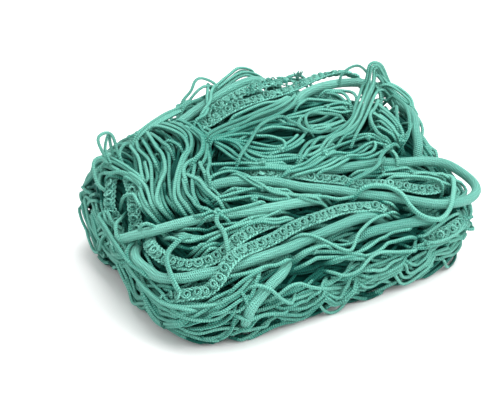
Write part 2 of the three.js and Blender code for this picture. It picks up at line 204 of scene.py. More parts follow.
elasticLook = {
    "deep": (0.002, 0.178, 0.136, 1), "light": (0.180, 0.535, 0.436, 1),
    "rib": 1.5, "plaits": 5, "threads": 14, "twist": 0.8,   # millimetres a rib, plaits and fine threads around
    "ground": 0.30, "ribShare": 0.26, "threadShare": 0.10,
    "fibreScale": 800.0, "fibreShare": 0.35, "patchScale": 18.0, "patchShare": 0.4,
    "roughness": 0.48, "ribPolish": 0.08, "patchRough": 0.2, "gloss": 0.45, "sheen": 0.03, "sheenRough": 0.4,
    "relief": 0.0008, "ribRelief": 0.7, "threadRelief": 0.2, "fibreRelief": 0.2,
}


def elasticFinish(name, look):
    finish = Finish(name, Sheen_Weight=look["sheen"], Sheen_Roughness=look["sheenRough"],
                    Specular_IOR_Level=look["gloss"])
    along, around = finish.alongAndAround()
    lengthwise, turned = along * (fullTurn / look["rib"]), around * (fullTurn * look["plaits"])
    rib = ((lengthwise + turned).sine() + (lengthwise - turned).sine()) * 0.5
    thread = (around * (fullTurn * look["threads"]) + along * look["twist"]).sine()
    # the shade attribute brings the painted light and shade set along each cord
    tone = finish.shadeOfStrand()
    fibre = finish.speckle(look["fibreScale"])
    patch = finish.speckle(look["patchScale"])
    # rib and thread also darken the colour in their grooves: partly the cover's own weave, partly painted shade
    # in the grooves
    share = tone + rib * look["ribShare"] + thread * look["threadShare"] + look["ground"]
    share = share + (fibre - 0.5) * look["fibreShare"] + (patch - 0.5) * look["patchShare"]
    finish.feed("Base Color", finish.blendOf(share.clamped(), look["deep"], look["light"]))
    rough = look["roughness"] - rib * look["ribPolish"] + (patch - 0.5) * look["patchRough"]
    finish.feed("Roughness", rough)
    height = rib * look["ribRelief"] + thread * look["threadRelief"] + fibre * look["fibreRelief"]
    finish.relief(height, look["relief"])
    return finish.material


# the core's near-black green is painted shade, seen through the gaps between the strands
coreShadeLook = {
    "deep": (0.0005, 0.045, 0.034, 1), "light": (0.003, 0.105, 0.080, 1),
    "scale": 160.0, "detail": 4.0, "roughness": 0.85, "roughSpread": 0.1, "gloss": 0.1, "relief": 0.002,
}


def coreFinish(name, look):
    finish = Finish(name, Specular_IOR_Level=look["gloss"])
    tangle = finish.speckle(look["scale"], look["detail"])
    finish.feed("Base Color", finish.blendOf(tangle, look["deep"], look["light"]))
    finish.feed("Roughness", look["roughness"] + tangle * look["roughSpread"])
    finish.relief(tangle, look["relief"])
    return finish.material


floorFinish = Finish("pale_floor", Base_Color=floorLook["colour"], Roughness=floorLook["roughness"])
bpy.ops.mesh.primitive_plane_add(size=floorLook["size"])
floor = bpy.context.object
floor.name = "floor"
floor.data.materials.append(floorFinish.material)
bpy.ops.object.select_all(action="DESELECT")

twineMaterial = twineFinish("teal_twine", twineLook)
elasticMaterial = elasticFinish("teal_elastic", elasticLook)
selvedgeLook = dict(
    twineLook, deep=(0.001, 0.235, 0.180, 1), light=(0.265, 0.690, 0.570, 1), stitch=1.3, columns=2,
)
selvedgeMaterial = twineFinish("teal_selvedge", selvedgeLook)
coreShadeMaterial = coreFinish("painted_shade_tangle", coreShadeLook)
print("camera, light and finishes ready")

# The skin of the heap, as in the part's own sizes

heap = {
    "halfLength": 146, "halfWidth": 112, "cornerPower": 6, "shoulderDrop": 0.34, "shoulderPower": 8,
    "wallDraft": 7,
    "rowPlaces": [-112, -85, -55, -20, 20, 55, 85, 112],
    "heights": [                                       # left to right, a row for each section from the front
        [50, 52, 56, 60, 66], [54, 60, 66, 70, 80], [60, 76, 80, 82, 98], [74, 92, 98, 98, 122],
        [90, 104, 110, 111, 125], [98, 110, 124, 117, 104], [92, 106, 129, 114, 96], [76, 92, 111, 102, 86],
    ],
}
rowPlaces = np.array(heap["rowPlaces"], float)
rowHeights = np.array(heap["heights"], float)
lastRow, lastColumn = rowHeights.shape[0] - 1, rowHeights.shape[1] - 1


def cubicWeights(t):
    return [
        -0.5 * t + t * t - 0.5 * t ** 3,
        1 - 2.5 * t * t + 1.5 * t ** 3,
        0.5 * t + 2 * t * t - 1.5 * t ** 3,
        -0.5 * t * t + 0.5 * t ** 3,
    ]


def outlineNorm(x, y):
    power = heap["cornerPower"]
    along = np.abs(x / heap["halfLength"]) ** power
    across = np.abs(y / heap["halfWidth"]) ** power
    return (along + across) ** (1 / power)


def heapHeight(x, y):
    y = np.clip(y, rowPlaces[0], rowPlaces[-1])
    row = np.clip(np.searchsorted(rowPlaces, y, "right") - 1, 0, lastRow - 1)
    t = (y - rowPlaces[row]) / (rowPlaces[row + 1] - rowPlaces[row])
    at = np.clip((x / heap["halfLength"] + 1) * (lastColumn / 2), 0, lastColumn)
    column = np.clip(np.floor(at).astype(int), 0, lastColumn - 1)
    rowWeights = cubicWeights(t)
    columnWeights = cubicWeights(np.clip(at - column, 0, 1))
    plain = 0
    for j in range(4):
        for i in range(4):
            rows = np.clip(row + j - 1, 0, lastRow)
            columns = np.clip(column + i - 1, 0, lastColumn)
            plain = plain + rowWeights[j] * columnWeights[i] * rowHeights[rows, columns]
    norm = np.minimum(outlineNorm(x, y), 1)
    return plain * (1 - heap["shoulderDrop"] * norm ** heap["shoulderPower"])


def skinPoint(x, y):                                   # past the outline the plan carries on down the wall
    norm = np.maximum(outlineNorm(x, y), 1)
    edgeX, edgeY = x / norm, y / norm
    drop = np.hypot(x, y) * (1 - 1 / norm)
    top = heapHeight(edgeX, edgeY)
    inward = 1 - heap["wallDraft"] / heap["halfWidth"] * np.clip(drop / top, 0, 1)
    return np.stack([edgeX * inward, edgeY * inward, np.maximum(top - drop, 0)], -1)


def unit(vectors):
    return vectors / np.maximum(np.linalg.norm(vectors, axis=-1, keepdims=True), 1e-9)


def skinNormal(x, y, reach=4.0):
    along = skinPoint(x + reach, y) - skinPoint(x - reach, y)
    across = skinPoint(x, y + reach) - skinPoint(x, y - reach)
    return unit(np.cross(along, across))


curveSteps = 16                                        # between two points of a route


def smoothRoute(points, step):                         # an even walk along a smooth curve through the points
    p = np.array(points, float)
    p = np.vstack([2 * p[0] - p[1], p, 2 * p[-1] - p[-2]])
    stops = np.concatenate([[0], np.cumsum(np.linalg.norm(np.diff(p, axis=0), axis=1) ** 0.5)])
    walk = []
    for k in range(1, len(p) - 2):
        t = np.linspace(stops[k], stops[k + 1], curveSteps, endpoint=False)[:, None]
        t0, t1, t2, t3 = stops[k - 1:k + 3]
        a1 = ((t1 - t) * p[k - 1] + (t - t0) * p[k]) / (t1 - t0)
        a2 = ((t2 - t) * p[k] + (t - t1) * p[k + 1]) / (t2 - t1)
        a3 = ((t3 - t) * p[k + 1] + (t - t2) * p[k + 2]) / (t3 - t2)
        b1 = ((t2 - t) * a1 + (t - t0) * a2) / (t2 - t0)
        b2 = ((t3 - t) * a2 + (t - t1) * a3) / (t3 - t1)
        walk.append(((t2 - t) * b1 + (t - t1) * b2) / (t2 - t1))
    walk.append(p[-2:-1])
    return evenly(np.vstack(walk), step)


def evenly(walk, step):
    far = np.concatenate([[0], np.cumsum(np.linalg.norm(np.diff(walk, axis=0), axis=1))])
    places = np.linspace(0, far[-1], max(int(round(far[-1] / step)), 2) + 1)
    return np.stack([np.interp(places, far, walk[:, k]) for k in range(walk.shape[1])], -1)


def laid(route):                                       # x, y and lift to a place in space
    x, y, lift = route[:, 0], route[:, 1], route[:, 2]
    return skinPoint(x, y) + skinNormal(x, y) * lift[:, None]


# Tubes: one ring of corners at each step of a path, all strands of a piece in one mesh

def tubeArrays(paths, radii, sides, shades):
    counts = np.array([len(path) for path in paths])
    longest = counts.max()
    points = np.zeros((len(paths), longest, 3))
    for k, path in enumerate(paths):
        points[k, :len(path)] = path
        points[k, len(path):] = path[-1]
    rows = np.arange(longest)[None, :]
    after = np.minimum(rows + 1, counts[:, None] - 1)
    before = np.minimum(np.maximum(rows - 1, 0), counts[:, None] - 2)
    strand = np.arange(len(paths))[:, None]
    ahead = unit(points[strand, after] - points[strand, before])
    side = np.zeros_like(points)
    lean = np.where(np.abs(ahead[:, 0, 2:3]) < 0.9, [[0.0, 0.0, 1.0]], [[1.0, 0.0, 0.0]])
    carried = unit(np.cross(ahead[:, 0], lean))
    for k in range(longest):
        carried = unit(carried - ahead[:, k] * np.sum(carried * ahead[:, k], -1, keepdims=True))
        side[:, k] = carried
    up = np.cross(side, ahead)
    inUse = rows < counts[:, None]
    centre, side, up = points[inUse], side[inUse], up[inUse]
    radius = np.concatenate([np.broadcast_to(r, c) for r, c in zip(radii, counts)])
    shade = np.concatenate([np.broadcast_to(s, c) for s, c in zip(shades, counts)])
    angles = fullTurn * np.arange(sides) / sides
    ring = side[:, None, :] * np.cos(angles)[None, :, None] + up[:, None, :] * np.sin(angles)[None, :, None]
    corners = centre[:, None, :] + ring * radius[:, None, None]
    starts = np.concatenate([[0], np.cumsum(counts)[:-1]])
    steps = np.linalg.norm(np.diff(centre, axis=0, prepend=centre[:1]), axis=1)
    steps[starts] = 0
    far = np.cumsum(steps)
    far = far - np.repeat(far[starts], counts)
    isLast = np.zeros(len(centre), bool)
    isLast[starts + counts - 1] = True
    here = np.flatnonzero(~isLast)[:, None]
    i = np.arange(sides)[None, :]
    j = (i + 1) % sides
    quads = np.stack([here * sides + i, here * sides + j, (here + 1) * sides + j, (here + 1) * sides + i], -1)
    uvs = np.stack([
        np.stack([far[here] + 0 * i, i / sides + 0.0 * here], -1),
        np.stack([far[here] + 0 * i, (i + 1) / sides + 0.0 * here], -1),
        np.stack([far[here + 1] + 0 * i, (i + 1) / sides + 0.0 * here], -1),
        np.stack([far[here + 1] + 0 * i, i / sides + 0.0 * here], -1),
    ], 2)
    fan = np.array([[0, k, k + 1, k + 2] for k in range(1, sides - 2, 2)])
    first = (starts * sides)[:, None, None] + fan[None, :, ::-1]
    last = ((starts + counts - 1) * sides)[:, None, None] + fan[None]
    caps = np.concatenate([first.reshape(-1, 4), last.reshape(-1, 4)])
    quads = np.concatenate([quads.reshape(-1, 4), caps])
    uvs = np.concatenate([uvs.reshape(-1, 4, 2), np.zeros((len(caps), 4, 2))])
    uvs[..., 0] *= mm
    return corners.reshape(-1, 3), quads, uvs, np.repeat(shade, sides)


def joined(parts):
    shift = 0
    corners, quads, uvs, shades = [], [], [], []
    for c, q, u, s in parts:
        corners.append(c)
        quads.append(q + shift)
        uvs.append(u)
        shades.append(s)
        shift += len(c)
    return np.concatenate(corners), np.concatenate(quads), np.concatenate(uvs), np.concatenate(shades)


def makePiece(name, arrays, material, slot, *nodes):
    corners, quads, uvs, shades = arrays
    mesh = bpy.data.meshes.new(name)
    mesh.vertices.add(len(corners))
    mesh.vertices.foreach_set("co", (corners * mm).astype(np.float32).ravel())
    mesh.loops.add(quads.size)
    mesh.loops.foreach_set("vertex_index", quads.astype(np.int32).ravel())
    mesh.polygons.add(len(quads))
    mesh.polygons.foreach_set("loop_start", np.arange(0, quads.size, 4, dtype=np.int32))
    mesh.polygons.foreach_set("use_smooth", np.ones(len(quads), bool))
    lay = mesh.uv_layers.new(name="lay")
    lay.data.foreach_set("uv", uvs.astype(np.float32).ravel())
    shade = mesh.attributes.new("shade", "FLOAT", "POINT")
    shade.data.foreach_set("value", shades.astype(np.float32))
    mesh.update(calc_edges=True)
    mesh.validate()
    mesh.materials.append(material)
    piece = bpy.data.objects.new(name, mesh)
    scene.collection.objects.link(piece)
    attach(piece, "root")
    if nodes:
        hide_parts(*nodes)
    print(name, len(quads) * 2, "triangles")


# Elastic rim cord where it shows: x, y and the lift of its middle above the skin

elastic = {"radius": 4.0, "sides": 16, "step": 2.6, "tone": (0.42, 0.42)}
elasticRuns = {
    "elastic_back_left": [
        (-70, 44, -7), (-64, 49, 3), (-52, 55, 3.4), (-38, 59, 3.4), (-22, 62, 4), (-7, 64, 5.4),
        (6, 66, 6.4), (19, 67, 7), (30, 67, 3), (40, 67, -7),
    ],
    "elastic_back": [
        (-60, 18, -7), (-52, 22, 2), (-33, 26, 3), (8, 30, 3.3), (40, 35, 3.4), (54, 42, 4.9),
        (73, 46, 7.5), (97, 43, 11), (113, 35, 12.3), (123, 27, 11), (129, 17, 6.8), (132, 7, 4.5),
        (131, -7, 3.6), (126, -22, 3.2), (118, -35, 3), (113, -46, 2.5), (110, -52, -2), (108, -58, -8),
    ],
    "elastic_right_loop": [
        (18, -34, -9), (34, -42, 1), (46, -44, 3), (68, -47, 3), (90, -56, 3), (113, -62.5, 2.5),
        (129, -68, 5), (136, -78, 9.5), (132, -88, 12.5), (124, -94, 12), (113, -96.5, 9.5), (96, -95, 5),
        (79, -89, 3), (58, -79, 3), (40, -71, 3), (22, -62, 3), (-7, -50, 3), (-25, -40, 3), (-44, -33, 3),
        (-63, -27, 3), (-76, -24, 0), (-86, -22, -8),
    ],
    "elastic_middle": [
        (-158, 10, -11), (-152, 3, -5), (-147, -3, 2), (-144, -8, 4), (-142, -12, 4), (-135, -21, 4),
        (-123, -31, 3), (-106, -40, 3), (-88, -47, 3), (-68, -54, 3), (-46, -58, 3), (-18, -61, 3),
        (-4, -62, 1), (12, -60, -9),
    ],
    "elastic_front": [
        (-140, -18, -8), (-142, -27, 0), (-142, -36, 4), (-140, -50, 4), (-136, -65, 4), (-126, -77, 4),
        (-112, -83, 3.6), (-97, -87, 2.6), (-81, -88, 3), (-46, -89, 3), (-15, -88, 3), (21, -87, 3),
        (33, -88, 1), (43, -90, -5), (52, -92, -11),
    ],
    "elastic_front_right": [
        (10, -97, -9), (18, -97, -1), (27, -97, 3), (45, -98, 3), (64, -99.5, 3), (76, -100.5, 1),
        (84, -101.5, -4), (92, -103, -11),
    ],
    "elastic_front_low": [
        (-36, -88, -14), (-42, -92, -10), (-49, -97, -4), (-58, -101.5, 2), (-70, -105, 4),
        (-80, -108, 4), (-91, -111, 4), (-100, -117, 3), (-108, -126, -2), (-114, -134, -9),
    ],
}

# painted light and shade along a run, lighter where it is lit and darker where it lies in shade, from its first
# point to its last
elasticPaintedLight = {
    "elastic_back": (0.0, 0.15, 0.5, 0.75, 0.3, 0.2), "elastic_front": (0.55, 0.45, 0.3, 0.2),
    "elastic_front_right": (0.15, 0.15), "elastic_right_loop": (0.3, 0.36, 0.4), "elastic_middle": (0.7, 0.6),
}
cordPaths = {}
for name, route in elasticRuns.items():
    path = laid(smoothRoute(route, elastic["step"]))
    cordPaths[name] = path
    tones = elasticPaintedLight.get(name, elastic["tone"])
    tone = np.interp(np.linspace(0, 1, len(path)), np.linspace(0, 1, len(tones)), tones)
    arrays = tubeArrays([path], [elastic["radius"]], elastic["sides"], [tone])
    makePiece(name + "_cord", arrays, elasticMaterial, "elastic", name)

# Chained selvedge where it shows, in the same columns

band = {
    "pitch": 6.6, "steps": 8, "jitter": 0.3, "reach": 3.7, "scallop": 1.1, "yarn": 0.85, "yarnSides": 6,
    "edgeRise": 0.9, "edgeDrop": 0.3, "edgeShades": (0.5, 0.8), "curlShades": (0.5, 0.95),
    "groundReach": 1.7, "groundRise": 0.4, "groundDrop": 1.7, "groundYarn": 1.2, "groundPaintedShades": (0.0, 0.15),
}
chainCurl = {                                          # angles in degrees, reaches and rises along the curl
    "points": 14, "start": 200, "startSpread": 60, "sweep": 600, "reaches": (3.3, 2.5, 0.7), "sizeSpread": 0.4,
    "oval": 1.2, "rises": (-0.6, 1.2, 1.7, 1.4), "tip": 0.2, "yarn": 0.95, "sides": 4,
}
bandStretches = {
    "band_back": [
        (-78, 32, -8), (-63, 37, 2.5), (-40, 39, 2.6), (-24, 43, 3.2), (2, 46, 3.5), (31, 49, 4.2),
        (48, 52, 5.8), (64, 56, 8.7), (79, 59, 12.3), (92, 59, 16.6), (103, 57, 19.8), (112, 52, 20),
        (120, 48, 14), (126, 45, 5), (130, 43, -7),
    ],
    "band_back_upper": [
        (-41, 53, -9), (-34, 52, -2), (-28, 51, 4), (-19, 52, 5.6), (-8, 54, 6.4), (6, 56.5, 7.4),
        (18, 57.5, 8), (30, 59, 8.4), (40, 61, 3), (47, 62, -8),
    ],
    "band_right": [
        (-48, -18, -9), (-33, -28, 1), (-22, -31, 2), (-6, -37, 2), (12, -46, 2), (26, -51, 2),
        (38, -58, 2), (53, -63, 2), (67, -69, 2), (79, -76, 2), (90, -82, 2), (102, -84, 2), (114, -80, 1),
        (128, -72, -9),
    ],
    "band_front": [
        (-142, -72, -6), (-134, -84, 2), (-126, -89, 2), (-116, -93, 2), (-107, -92, 6), (-97, -87, 11),
        (-86, -83, 10), (-76, -81, 6), (-67, -80, 3), (-49, -79, 2), (-36, -77, 2), (-22, -76, 2),
        (-5, -76, 2), (13, -76, 2), (31, -79, 2), (46, -83, 1), (62, -88, -9),
    ],
    "band_middle": [
        (-132, -22, -9), (-132, -36, 2), (-130, -48, 2), (-125, -61, 2), (-118, -70, 2), (-106, -75, 2),
        (-93, -75, 2), (-75, -70, 2), (-56, -68, 2), (-44, -67, -1), (-34, -67, -8),
    ],
    "band_left": [
        (-120, 38, -8), (-121, 23, 2), (-124, 10, 2), (-129, -1, 2), (-137, -14, -8),
    ],
    "band_left_outer": [
        (-126, 46, -8), (-131, 36, 2), (-136, 28, 2), (-140, 20, 2), (-143, 12, -8),
    ],
    "band_corner": [
        (74, -109, -9), (84, -109.5, 0), (94, -109, 2), (104, -107.5, 2), (116, -104.5, 2), (128, -98, -8),
    ],
}


def bandFrame(route, step):                            # middle, heading, side and up along a stretch
    walk = smoothRoute(route, step)
    middle = laid(walk)
    up = skinNormal(walk[:, 0], walk[:, 1])
    ahead = unit(np.gradient(middle, axis=0))
    up = unit(up - ahead * np.sum(up * ahead, -1, keepdims=True))
    return middle, ahead, np.cross(ahead, up), up


def curlPath(centre, ahead, side, up, size=1.0):
    turns = np.linspace(0, 1, chainCurl["points"])
    start = chainCurl["start"] + chainCurl["startSpread"] * luck.normal(0, band["jitter"])
    angle = math.radians(start) - turns * math.radians(chainCurl["sweep"])
    spread = 1 + chainCurl["sizeSpread"] * luck.normal(0, band["jitter"])
    curl = np.interp(turns, [0, 0.5, 1], chainCurl["reaches"]) * spread
    reachAlong = size * curl * np.cos(angle) + luck.normal(0, band["jitter"])
    reachSide = chainCurl["oval"] * size * curl * np.sin(angle) + luck.normal(0, band["jitter"])
    rise = np.interp(turns, [0, 0.2, 0.6, 1], chainCurl["rises"])
    tip = luck.normal(0, chainCurl["tip"]) * reachSide + luck.normal(0, chainCurl["tip"]) * reachAlong
    return centre + ahead * reachAlong[:, None] + side * reachSide[:, None] + up * (rise + tip)[:, None]


def bandArrays(route):
    steps = band["steps"]
    middle, ahead, side, up = bandFrame(route, band["pitch"] / steps)
    phase = fullTurn * np.arange(len(middle)) / steps
    paths, radii, shades = [], [], []

    def yarn(wide, high, radius, shade):
        paths.append(middle + side * wide[:, None] + up * high[:, None])
        radii.append(radius)
        shades.append(shade)

    for hand in (-1, 1):
        for lag in (0, math.pi):                       # two yarns that interlace along each edge
            wide = hand * (band["reach"] + band["scallop"] * np.cos(phase + lag))
            high = band["edgeRise"] * np.sin(phase + lag + hand) - band["edgeDrop"]
            yarn(wide, high, band["yarn"], luck.uniform(*band["edgeShades"]))
        # the ground yarn lies under the curls, and its low shades are painted shade
        wide = hand * band["groundReach"] * np.cos(phase / 2)
        high = band["groundRise"] * np.sin(phase) - band["groundDrop"]
        yarn(wide, high, band["groundYarn"], luck.uniform(*band["groundPaintedShades"]))
    edges = tubeArrays(paths, radii, band["yarnSides"], shades)
    curls, shades = [], []
    for k in range(steps // 2, len(middle) - steps // 2, steps):   # a curl for each loop of the chain
        curls.append(curlPath(middle[k], ahead[k], side[k], up[k]))
        shades.append(luck.uniform(*band["curlShades"]))
    eyes = tubeArrays(curls, [chainCurl["yarn"]] * len(curls), chainCurl["sides"], shades)
    return joined([edges, eyes]), middle


bandPaths = {}
for name, route in bandStretches.items():
    arrays, middle = bandArrays(route)
    bandPaths[name] = middle
    makePiece(name + "_chain", arrays, selvedgeMaterial, "selvedge", name)

# Selvedge bunched up between and over its two runs at the back: x, y and lift of each edge

bunch = {
    "tries": 220, "apart": 3.3, "size": 0.58, "yarn": 0.72, "tilt": 0.3, "step": 1.0, "shades": (0.0, 0.95),
    "front": [(-52, 40, 4), (-24, 46, 5), (6, 50, 7), (34, 53, 8), (52, 56, 9)],
    "back": [(-46, 44, 5), (-20, 51, 7), (8, 57, 9), (36, 63, 10), (56, 66, 8)],
}
frontEdge = smoothRoute(bunch["front"], bunch["step"])
backEdge = smoothRoute(bunch["back"], bunch["step"])
curls, spots = [], []
for k in range(bunch["tries"]):
    along, across = luck.random(2)
    low = frontEdge[int(along * (len(frontEdge) - 1))]
    high = backEdge[int(along * (len(backEdge) - 1))]
    spot = (low + (high - low) * across)[None]
    up = skinNormal(spot[:, 0], spot[:, 1])[0]
    turn = luck.uniform(0, fullTurn)
    ahead = unit(np.cross(up, (math.cos(turn), math.sin(turn), luck.normal(0, bunch["tilt"]))))
    curl = curlPath(laid(spot)[0], ahead, np.cross(ahead, up), up, bunch["size"])
    if all(np.linalg.norm(spot[0, :2] - other) > bunch["apart"] for other in spots):
        spots.append(spot[0, :2])
        curls.append(curl)
shades = luck.uniform(*bunch["shades"], len(curls))
arrays = tubeArrays(curls, [bunch["yarn"]] * len(curls), chainCurl["sides"], shades)
makePiece("band_back_bunched", arrays, selvedgeMaterial, "selvedge", "band_back_upper")
print("cords and selvedge laid")

# Twine of the net: gathered folds, loose strands, standing loops and the layers under them

twine = {
    "radius": 1.42, "radiusSpread": (0.93, 1.08), "sides": 6, "step": 3.0, "cell": 46.0, "shades": (0.3, 0.85),
    "pull": 0.34, "sink": 14.0, "sunk": -11.0,         # pull of the knots, and how the ends go under
}
fold = {
    "stray": 1.5, "bends": 5, "heaves": 4, "hold": 0.05, "widest": 0.45, "uneven": 0.12, "crown": 0.55,
    "base": 1.0, "trim": 0.05, "tied": 0.7, "clear": 4,
}

# strands, pitch, rise, how wide the fold is at its start, middle and end, and its route in plan
falls = [
    (4, 3.2, 0, (1.0, 1.0, 0.9), [
        (-112, 128), (-108, 98), (-101, 55), (-114, 15), (-115, 4), (-117, -9), (-115, -28),
    ]),
    (4, 3.2, 1, (1.0, 1.0, 0.9), [
        (-98, 130), (-97, 98), (-95, 66), (-98, 29), (-99, 15), (-103, 5), (-111, -2), (-117, -19),
        (-115, -32),
    ]),
    (4, 3.2, 1, (1.1, 1.0, 0.9), [
        (-87, 130), (-86, 100), (-83, 47), (-88, 21), (-94, 13), (-105, -4), (-109, -20), (-108, -36),
    ]),
    (3, 3.3, 0, (1.0, 1.1, 0.9), [
        (-80, 130), (-78, 66), (-74, 30), (-86, 8), (-94, 0), (-101, -12), (-104, -26), (-102, -42),
    ]),
    (4, 3.2, 2, (1.0, 1.0, 0.9), [
        (-70, 128), (-70, 66), (-66, 42), (-64, 29), (-77, 9), (-87, 2), (-100, -14), (-103, -25),
        (-99, -40),
    ]),
    (4, 3.2, 2, (1.0, 1.0, 0.9), [
        (-62, 74), (-55, 25), (-58, 15), (-67, 4), (-76, 1), (-84, 0), (-96, -14), (-98, -26), (-94, -42),
    ]),
    (3, 3.3, 2, (1.0, 0.8, 1.0), [(-55, 44), (-50, 25), (-51, 14), (-61, 5), (-68, -5), (-73, -28)]),
    (3, 3.6, 2, (0.8, 1.2, 1.0), [(-86, -1), (-82, -17), (-80, -29), (-69, -52)]),
    (3, 3.6, 1, (0.7, 1.1, 0.8), [(-68, 4), (-78, -6), (-86, -27), (-77, -52)]),
    (3, 3.4, -1, (1.0, 1.1, 0.9), [(-126, 122), (-118, 58), (-112, 34), (-110, 12), (-116, -22)]),
    (3, 3.6, -1, (1.0, 1.2, 0.9), [(-138, 118), (-130, 62), (-127, 48), (-128, 36)]),
]
fans = [
    (4, 3.8, -2, (0.6, 1.1, 0.9), [(-50, 10), (-24, -12), (-6, -18), (48, -18)]),
    (4, 3.8, -2, (0.7, 1.1, 0.9), [(-34, -22), (6, -33), (62, -30), (88, -38)]),
    (3, 3.8, -2, (0.7, 1.1, 0.9), [(-44, -26), (-22, -34), (4, -38), (36, -36), (66, -38), (94, -44)]),
    (4, 3.8, -2, (0.7, 1.2, 0.9), [(100, -44), (97, -30), (97, -14), (101, 2), (108, 18)]),
    (3, 3.8, -2, (0.8, 1.1, 0.9), [(116, 20), (98, 10), (80, -4), (36, -18)]),
    (4, 3.8, 4, (0.5, 1.2, 0.8), [(-49, 19), (-26, 17), (22, 16), (73, 17), (90, 6)]),
    (4, 3.8, 4, (0.5, 1.2, 0.8), [(-47, 4), (-24, 9), (0, 9), (26, 3), (55, 1), (82, 3)]),
    (2, 3.8, 0, (1.0, 1.1, 0.8), [(84, -44), (48, -40), (28, -42)]),
]
fronts = [
    (3, 4, 3, (0.9, 1.0, 0.8), [(-77, -33), (-57, -39), (-24, -53), (-8, -57)]),
    (4, 3.8, 3, (0.9, 1.1, 0.8), [(-120, -37), (-111, -50), (-102, -57), (-86, -62), (-20, -66)]),
    (4, 4, 2, (0.9, 1.1, 0.9), [(-146, -22), (-142, -77), (-121, -99), (-68, -99)]),
    (3, 4, 2, (0.9, 1.1, 0.8), [(12, -81), (32, -83), (66, -95)]),
    (3, 3.8, 3, (0.8, 1.0, 0.8), [(32, -52), (66, -54), (102, -68)]),
    (3, 3.8, 3, (0.8, 1.0, 0.8), [(50, -60), (67, -61), (112, -80), (115, -88), (110, -96)]),
    (2, 4, 3, (0.8, 1.0, 0.8), [(14, -72), (4, -66), (-10, -60), (-28, -50)]),
    (3, 4, 3, (0.9, 1.0, 0.9), [(-50, -98), (-31, -97), (-14, -99), (4, -104), (24, -108)]),
    (3, 4, 3, (0.9, 1.0, 0.9), [(58, -113), (98, -110), (124, -103)]),
    (3, 4, 4, (0.9, 1.0, 0.9), [(-26, -104), (10, -107), (40, -107), (72, -110)]),
    (3, 4.2, 4, (0.9, 1.0, 0.9), [(-128, -104), (-97, -104), (-66, -99)]),
    (4, 3.8, -5, (1.0, 1.0, 0.9), [(131, -16), (135, -34), (132, -56)]),
]
backs = [
    (3, 4.6, 0, (0.9, 1.1, 0.9), [(-40, 84), (44, 90), (90, 84)]),
    (4, 4.6, 3, (0.9, 1.1, 0.9), [(-128, 98), (-64, 108), (-4, 104)]),
    (4, 4.6, 2, (0.9, 1.1, 0.9), [(6, 107), (66, 109), (118, 98)]),
    (3, 4.6, 1, (0.9, 1.1, 0.9), [(30, 99), (76, 97), (122, 78)]),
    (3, 4.6, 1, (0.9, 1.1, 0.9), [(132, 56), (120, 76), (94, 90)]),
    (3, 4.6, 2, (0.9, 1.1, 0.9), [(-60, 80), (-30, 94), (10, 98), (48, 104)]),
]

# Folds that sag down the wall: compass angle of the middle, half the angle spanned, lowest drop
swagFold = {"strands": 4, "pitch": 4.4, "rise": 3, "widths": (0.8, 1.1, 0.8), "top": 5}
swags = [(-76, 15, 14), (-30, 14, 26), (-4, 21, 30), (18, 12, 44), (38, 13, 34), (58, 12, 52), (74, 17, 36),
         (96, 14, 62), (112, 17, 44), (130, 12, 50), (142, 12, 24), (160, 14, 44), (172, 17, 28), (190, 14, 34),
         (206, 12, 18), (-112, 14, 18), (-96, 12, 26), (-60, 10, 24)]

